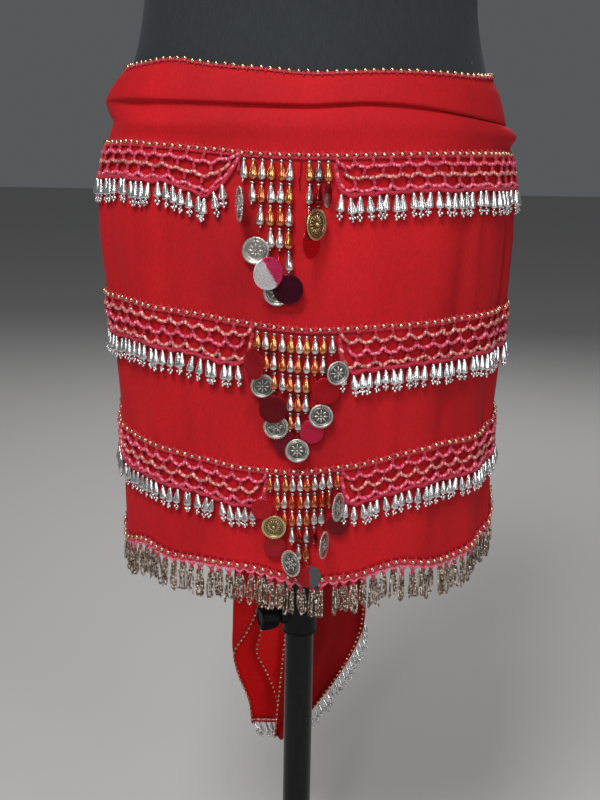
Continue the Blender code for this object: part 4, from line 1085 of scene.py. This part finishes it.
def hang_drops(silver, tops, along, lean, side, size=1.0):
    """Drops that hang from these points. along is the edge's own direction."""
    along = np.array(along) * side
    along[:, 2] = 0
    along /= np.linalg.norm(along, axis=1, keepdims=True)
    up = np.zeros_like(along)
    up[:, 2] = 1
    out = np.cross(along, up)
    axes = leaned(along, up, out, lean)
    new_along, out, new_up = np.moveaxis(axes, -2, 0)
    count = len(tops)
    length = 13.0 * MM * size * (1 + 0.05 * RANDOM.standard_normal(count))
    width = np.full(count, 3.9 * MM * size)
    tops = tops - new_up * 1.0 * MM + out * 1.2 * MM
    sizes = np.stack([width, width, length], -1)
    silver.scatter(DROP, tops, axes, sizes, uneven(SILVER_TINT, count, 0.07))
    foot = tops - new_up * length[:, None]
    small = 1.32 * MM * size
    silver.scatter(SMALL_BALL, foot - new_up * small * 0.8, axes, small, uneven(SILVER_TINT, count, 0.1))
    style = RANDOM.integers(0, 3, count)
    for kind, spots in enumerate(DROP_CLUSTERS):
        chosen = style == kind
        for x, z, y in spots:
            spot = foot + (new_along * x + new_up * z * 0.92 + out * y) * small
            tints = uneven(SILVER_TINT, chosen.sum(), 0.12)
            silver.scatter(SMALL_BALL, spot[chosen], axes[chosen], small, tints)


def make_columns(tier, gold):
    """The pears at the centre of a tier, strung in columns that end in discs."""
    pears, coins, discs = Pile(), Pile(), Pile()
    middle, pitch, bead_drop, pear_pitch = CLUSTER_PLACES[tier][:4]
    table = CLUSTERS[tier]
    stands_for = {True: [], False: []}
    for k, strand in enumerate(table):
        x = middle + (k - (len(table) - 1) / 2) * pitch
        angle = float(angle_at(tier, x))
        top = float(row_height(tier, angle))
        if not strand.pears:
            drops = np.array([0.0, 8.0, 17.0, 27.0]) * MM
            path = over(angle + np.array([0.0, 0.3, -0.2, 0.1]), top - drops, 1.5 * MM)
            pears.add(swept(path, 0.55 * MM, 5), CRIMSON)
            continue
        sway = np.degrees(RANDOM.standard_normal(len(strand.pears)) * 0.25 * MM / 0.17)
        lift = (3.5 + 0.3 * (k % 2)) * MM
        length = pear_pitch - PEAR_GAP
        for n, kind in enumerate(strand.pears):
            spot = np.array([angle + sway[n]])
            bead = np.array([top - bead_drop - n * pear_pitch])
            origins, axes = hang(spot, bead, lift, 1.5 * RANDOM.standard_normal())
            pears.scatter(RIDGED, origins, axes, (1.9 * MM, 1.9 * MM, 1.45 * MM), (0.50, 0.49, 0.47))
            size = (pitch * 0.505, pitch * 0.505, length)
            tint = uneven(PEAR_TINTS[kind], 1, 0.06)
            pears.scatter(PEAR, origins - axes[:, 2] * 1.2 * MM, axes, size, tint)
        end = bead_drop + n * pear_pitch + length + 2.2 * MM
        origins, axes = hang(np.array([angle]), np.array([top - end]), lift)
        gold.scatter(BALL, origins, axes, 1.2 * MM, SILVER_TINT)
        if strand.disc:
            turn = math.radians(strand.turn)
            forward = DISC_FORWARD + strand.layer * DISC_LAYER
            aside = float(angle_at(tier, x + strand.aside * MM))
            drops = np.array([end, strand.reach * MM + 2.2 * MM])
            path = over(np.array([angle, aside]), top - drops, np.array([lift, forward + 0.9 * MM]))
            path[1, 1] -= strand.disc / 2 * MM * abs(math.sin(turn))
            pears.add(swept(path, 0.35 * MM, 5), (0.45, 0.02, 0.04))
            hang_disc(coins, discs, pears, aside, top - strand.reach * MM, forward, strand)
            glossy = strand.kind in DISC_TINTS
            stands_for[glossy].append(f"disc_{tier}_{len(stands_for[True] + stands_for[False]) + 1}")
    pears.make(f"columns_{tier}_pears", METALLIC, "coloured_beads", (f"columns_{tier}",))
    coins.make(f"coins_{tier}", COINS, "coins", stands_for[False])
    discs.make(f"discs_{tier}", DISCS, "coins", stands_for[True])


DISC_TINTS = {
    "red": (0.60, 0.008, 0.016),
    "dark": (0.20, 0.004, 0.008),
    "maroon": (0.26, 0.005, 0.018),
    "glitter": (0.46, 0.010, 0.018),
    "crimson": (0.70, 0.018, 0.070),
    "purple": (0.070, 0.003, 0.016),
    "pink": (0.90, 0.040, 0.17),
    "halves": (0.50, 0.006, 0.012),
}
GREY_HALF = (0.12, 0.12, 0.13)
# A white painted highlight, laid over part of the pink disc's face
PAINTED_GLARE = (1.0, 0.93, 0.95)
RIDGED = lathe(
    ((0, 1), (0.5, 0.94), (0.86, 0.55), (1, 0), (0.86, -0.55), (0.5, -0.94), (0, -1)), 16, 0.16,
)
PAILLETTE = lathe(
    ((0, 0.055), (0.2, 0.054), (0.4, 0.050), (0.6, 0.044), (0.8, 0.042), (0.93, 0.045), (0.985, 0.050),
     (1.0, 0.035), (0.985, 0.015), (0.7, 0.0), (0, 0.008)),
    48,
)
COIN = lathe(
    ((0, 0.050), (0.50, 0.050), (0.80, 0.050), (0.84, 0.085), (0.95, 0.090), (0.99, 0.070), (1.0, 0.03),
     (0.99, -0.02), (0.84, -0.03), (0.80, 0.0), (0, 0.0)),
    40,
)


def hang_disc(coins, discs, threads, angle, top, forward, strand):
    """A coin or a glossy disc, hung from its rim and turned a little to one side."""
    radius = strand.disc / 2 * MM
    spot = np.array([angle])
    height = np.array([top - 0.3 * MM - radius])
    along, out, up = hang(spot, height, 0.0)[1][0]
    turn = math.radians(strand.turn)
    along, out = (
        along * math.cos(turn) + out * math.sin(turn),
        out * math.cos(turn) - along * math.sin(turn),
    )
    centre = over(spot, height, forward)[0] - np.array([0, radius * abs(math.sin(turn)), 0])
    axes = np.array([along, up, out])
    if strand.kind in DISC_TINTS:
        tint = np.broadcast_to(DISC_TINTS[strand.kind], (len(PAILLETTE.verts), 3))
        if strand.kind == "halves":
            tint = np.where(PAILLETTE.verts[:, :1] > 0, GREY_HALF, tint)
        # Painted highlight: one side of the pink disc's face is coloured white as glare
        if strand.kind == "pink":
            tint = np.where(PAILLETTE.verts[:, :1] + 0.6 * PAILLETTE.verts[:, 1:2] < 0.12, PAINTED_GLARE, tint)
        discs.add(Shape(PAILLETTE.verts * radius @ axes + centre, PAILLETTE.quads, PAILLETTE.tris), tint)
    else:
        coin(coins, centre, axes, radius, strand.kind)
    ring = np.linspace(-0.6, 1.1, 7) * math.pi
    hole = centre + up * radius * 0.80
    loop = hole + np.outer(np.sin(ring), out) * 1.1 * MM + np.outer(np.cos(ring), up) * 1.5 * MM
    threads.add(swept(loop, 0.32 * MM, 5, along), (0.42, 0.02, 0.04))


def coin(coins, centre, axes, radius, kind):
    """Stamped metal: a beaded rim round a plain rosette of petals, scrolls or rays."""
    golden = kind in ("gold", "toothed")
    bright = np.array((0.80, 0.60, 0.30) if golden else (0.74, 0.71, 0.65))
    tints = np.where(COIN.verts[:, 2:3] > 0.06, bright, bright * (0.30 if kind != "hammered" else 0.75))
    coins.add(Shape(COIN.verts * radius @ axes + centre, COIN.quads, COIN.tris), tints)

    def at(r, turn, z=0.06):
        r, turn, z = np.broadcast_arrays(r, turn, z)
        return np.stack([r * np.cos(turn), r * np.sin(turn), z], -1) * radius @ axes + centre

    def line(points, thick):
        coins.add(swept(points, np.asarray(thick) * radius, 5, axes[2]), bright)

    def dots(count, r, size):
        spots = at(r, 2 * math.pi * np.arange(count) / count)
        coins.scatter(SMALL_BALL, spots, axes, size * radius, bright)

    open_rim = kind in ("filigree", "toothed", "beaded", "pointed")
    dots(30, 0.985 if open_rim else 0.89, 0.080 if open_rim else 0.045)
    ring = 2 * math.pi * np.arange(41) / 40
    line(at(0.70, ring, 0.055), 0.030)
    if kind in ("coin", "hammered", "ringed"):
        for turn in 2 * math.pi * np.arange(8) / 8:
            line(at(np.linspace(0.14, 0.58, 5), turn), (0.03, 0.06, 0.09, 0.06, 0.02))
        dots(1, 0.0, 0.12)
        if kind == "ringed":
            line(at(0.80, ring, 0.055), 0.026)
    elif kind in ("toothed", "gold"):
        for turn in 2 * math.pi * np.arange(16) / 16:
            line(at(np.array([0.22, 0.6]), turn), (0.02, 0.05))
        dots(1, 0.0, 0.17)
    else:
        for turn in 2 * math.pi * np.arange(6) / 6:
            t = np.linspace(0, 1.6 * math.pi, 10)
            r = 0.40 + 0.17 * np.cos(t) * (1 - t / 9)
            line(at(r, turn + 0.33 * np.sin(t) * (1 - t / 9)), 0.045)
        dots(7, 0.16, 0.07)


def spaced(path, pitch, start=0.0):
    """Points one pitch apart along a path."""
    lengths = np.concatenate([[0], np.cumsum(np.linalg.norm(np.diff(path, axis=0), axis=1))])
    spots = np.arange(start, lengths[-1], pitch)
    return np.stack([np.interp(spots, lengths, path[:, k]) for k in range(3)], -1)


SEED_TINTS = np.array(
    [(0.22, 0.135, 0.095), (0.42, 0.32, 0.25), (0.09, 0.055, 0.035), (0.85, 0.74, 0.63)]
)
SEED_SHARES = (0.35, 0.3, 0.15, 0.2)
SEED_PITCH = 1.62 * MM


def make_tassels(side, threads):
    """Tassels of looped seed beads under the hem, on a zigzag of thread and clear tubes."""
    seeds = Pile()
    fine = stations("hem", 0.0, side * LACE_END, TASSEL_PITCH / 6)
    dip = (4.4 + 1.5 * np.cos(2 * math.pi * np.arange(len(fine)) / 6)) * MM
    scallops = over(fine, row_height("hem", fine) - dip, 0.8 * MM)
    threads.add(swept(scallops, chain_radius(scallops, 1.15 * MM)), PINK)
    angles = stations("hem", 0.0, side * LACE_END, TASSEL_PITCH)
    if side > 0:
        angles = angles[1:]
    for angle in angles:
        here = np.array([angle])
        tangent, up, out = axes_at(here, np.array([HIP_ROW - 0.3]))[0]
        hem = row_height("hem", here)
        root = around(here, hem, cloth_out(here, hem) - 0.2 * MM)[0]
        below = 8.0 + 1.2 * RANDOM.standard_normal()
        aside = 0.8 * RANDOM.standard_normal()
        knot = root - up * below * MM + tangent * aside * MM
        for way in (-1, 1):
            start = root + tangent * way * TASSEL_PITCH * 0.5 - up * 1.6 * MM
            path = start + (knot - start) * np.linspace(0, 1, 4)[:, None]
            tint = uneven(PINK if way > 0 else CRIMSON, 1)[0]
            threads.add(swept(path, np.array([1.2, 1.0, 1.0, 1.4]) * MM, 5), tint)
            run = knot - start
            along = run / np.linalg.norm(run)
            frame_axes = np.stack([np.cross(out, along), out, along])
            middle = start + run * 0.5 + out * 0.5 * MM
            tint = uneven((0.78, 0.30, 0.30), 1)
            seeds.scatter(TUBE, middle, frame_axes, (1.2 * MM, 1.2 * MM, 3.8 * MM), tint)
        neck = knot + np.outer(np.array([1.2, 0, -3.0]) * MM, up)
        threads.add(swept(neck, np.array([1.2, 1.8, 1.1]) * MM, 6), CRIMSON)
        loops = 4 if RANDOM.random() < 0.6 else 3
        for number in range(loops):
            length = (22.5 + 1.9 * RANDOM.standard_normal()) * MM
            width = (5.6 + 0.8 * RANDOM.standard_normal()) * MM
            spin = RANDOM.uniform(0, math.pi)
            lean = tangent * RANDOM.normal(0, 0.06) + out * RANDOM.normal(0.02, 0.05)
            t = np.linspace(0, 2 * math.pi, 60)
            down = length * (1 - np.cos(t)) / 2
            wide = width / 2 * np.sin(t) * (0.35 + 0.65 * (1 - np.cos(t)) / 2)
            path = (
                knot
                - np.outer(down + 1.5 * MM, up - lean)
                + np.outer(wide, tangent * math.cos(spin) + out * math.sin(spin) * 0.7)
                + tangent * (number - (loops - 1) / 2) * 1.5 * MM
            )
            beads = spaced(path, SEED_PITCH)
            tints = SEED_TINTS[RANDOM.choice(4, len(beads), p=SEED_SHARES)]
            seeds.scatter(SEED, beads, np.stack([tangent, out, up]), 0.98 * MM, tints)
    name = "left" if side < 0 else "right"
    seeds.make(f"tassels_{name}", SEEDS, "seed_beads", ("tassels_hem",))


def edge_beads(gold, threads, path, lift, pitch=0.0056):
    """Gold beads along a free edge of a tail. lift is the way out of the cloth."""
    points = spaced(path, pitch) + np.asarray(lift) * 1.6 * MM
    gold.scatter(BALL, points, np.eye(3), 1.6 * MM, uneven(GOLD_TINT, len(points), 0.08))
    line = spaced(path, 1.1 * MM)
    threads.add(swept(line, chain_radius(line, 0.9 * MM), 5), CRIMSON)


def make_tail_trims(gold, threads, silver):
    down = np.linspace(0, 1, 200)
    front = np.array([0.0, -1.0, 0.0])
    edge_beads(gold, threads, tail_left_point(np.zeros(200), down), front)
    edge_beads(gold, threads, tail_left_point(np.ones(200), down), front)
    edge_beads(gold, threads, tail_right_point(np.full(200, 0.0), down), front)
    edge_beads(gold, threads, tail_right_point(np.full(200, 0.965), down), front)
    slanted = tail_right_point(np.full(200, 1.0), np.linspace(0.72, 1.0, 200))
    hang_edge(silver, slanted, 0.0078)
    foot = tail_left_point(np.linspace(0.0, 1.0, 200), np.full(200, 1.0))
    edge_beads(gold, threads, foot, front)
    chain = tail_left_point(np.linspace(0.30, 0.86, 200), np.full(200, 1.0)) - np.array([0, 0, 3.5]) * MM
    threads.add(swept(chain, chain_radius(chain, 1.3 * MM)), CRIMSON)
    hang_edge(silver, chain, 0.0066)


def hang_edge(silver, path, pitch):
    points = spaced(path, pitch, pitch / 2)
    lean = 14.0 + 5.0 * RANDOM.standard_normal(len(points))
    hang_drops(silver, points, np.tile([[1.0, 0.0, 0.0]], (len(points), 1)), -lean, 1, 0.9)


def make_trims():
    gold, threads = Pile(), Pile()
    for row in BEAD_ROWS:
        bead_row(gold, threads, row, -ROW_END, ROW_END)
    for tier, (left, right) in LACE_GAPS.items():
        for side, x in ((-1, left), (1, right)):
            silver = Pile()
            make_lace(tier, side, float(angle_at(tier, x)), silver)
            label = f"{tier}_{'left' if side < 0 else 'right'}"
            silver.make(f"silver_drops_{label}", SILVER, "silver_beads", (f"drops_{label}",))
        make_columns(tier, gold)
    for side in (-1, 1):
        make_tassels(side, threads)
    tail_silver = Pile()
    make_tail_trims(gold, threads, tail_silver)
    tail_silver.make("silver_drops_tails", SILVER, "silver_beads")
    gold.make("gold_beads", GOLD, "coloured_beads")
    threads.make("edge_threads", THREAD, "crochet")


# Floor, light and camera


def make_studio():
    bpy.ops.mesh.primitive_plane_add(size=24, location=(0, 4, 0))
    floor = bpy.context.object
    floor.name = "studio_floor"
    floor.data.materials.append(Finish("studio_floor", (0.55, 0.54, 0.53), 0.75).made)
    world = bpy.data.worlds.new("studio")
    world.use_nodes = True
    world.node_tree.nodes["Background"].inputs["Color"].default_value = (0.80, 0.82, 0.85, 1)
    world.node_tree.nodes["Background"].inputs["Strength"].default_value = 0.12
    bpy.context.scene.world = world
    bpy.context.scene.view_settings.view_transform = "Standard"
    for name, place, size, power in (
        ("key", (-0.7, -1.9, 2.95), 0.9, 66),
        ("fill", (1.6, -1.9, 1.3), 0.8, 11),
        ("glint", (-0.35, -1.75, 1.25), 0.14, 5),
        ("rim", (0.4, 2.4, 2.4), 1.4, 34),
    ):
        lamp = bpy.data.lights.new(name, "AREA")
        lamp.size = size
        lamp.energy = power
        made = bpy.data.objects.new(name, lamp)
        made.location = place
        made.rotation_euler = (Vector((0, 0, 0.75)) - Vector(place)).to_track_quat("-Z", "Y").to_euler()
        bpy.context.scene.collection.objects.link(made)


def make_camera():
    pitch, yaw, roll = math.radians(13.0), math.radians(0.35), math.radians(1.0)
    forward = Vector((math.sin(yaw) * math.cos(pitch), math.cos(yaw) * math.cos(pitch), -math.sin(pitch)))
    right = Vector((math.cos(yaw), -math.sin(yaw), 0))
    up = right.cross(forward)
    right, up = math.cos(roll) * right + math.sin(roll) * up, math.cos(roll) * up - math.sin(roll) * right
    lens = bpy.data.cameras.new("camera")
    lens.sensor_fit = "VERTICAL"
    lens.sensor_height = 36
    lens.sensor_width = 36
    lens.lens = 1150 / 800 * 36
    made = bpy.data.objects.new("camera", lens)
    turn = Matrix((right, up, -forward)).transposed().to_4x4()
    made.matrix_world = Matrix.Translation((-0.0095, -1.02, HIP_ROW + 0.016)) @ turn
    bpy.context.scene.collection.objects.link(made)
    bpy.context.scene.camera = made


make_camera()
make_studio()
make_form()
make_stand()
make_wraps()
make_knot()
make_tails()
make_trims()
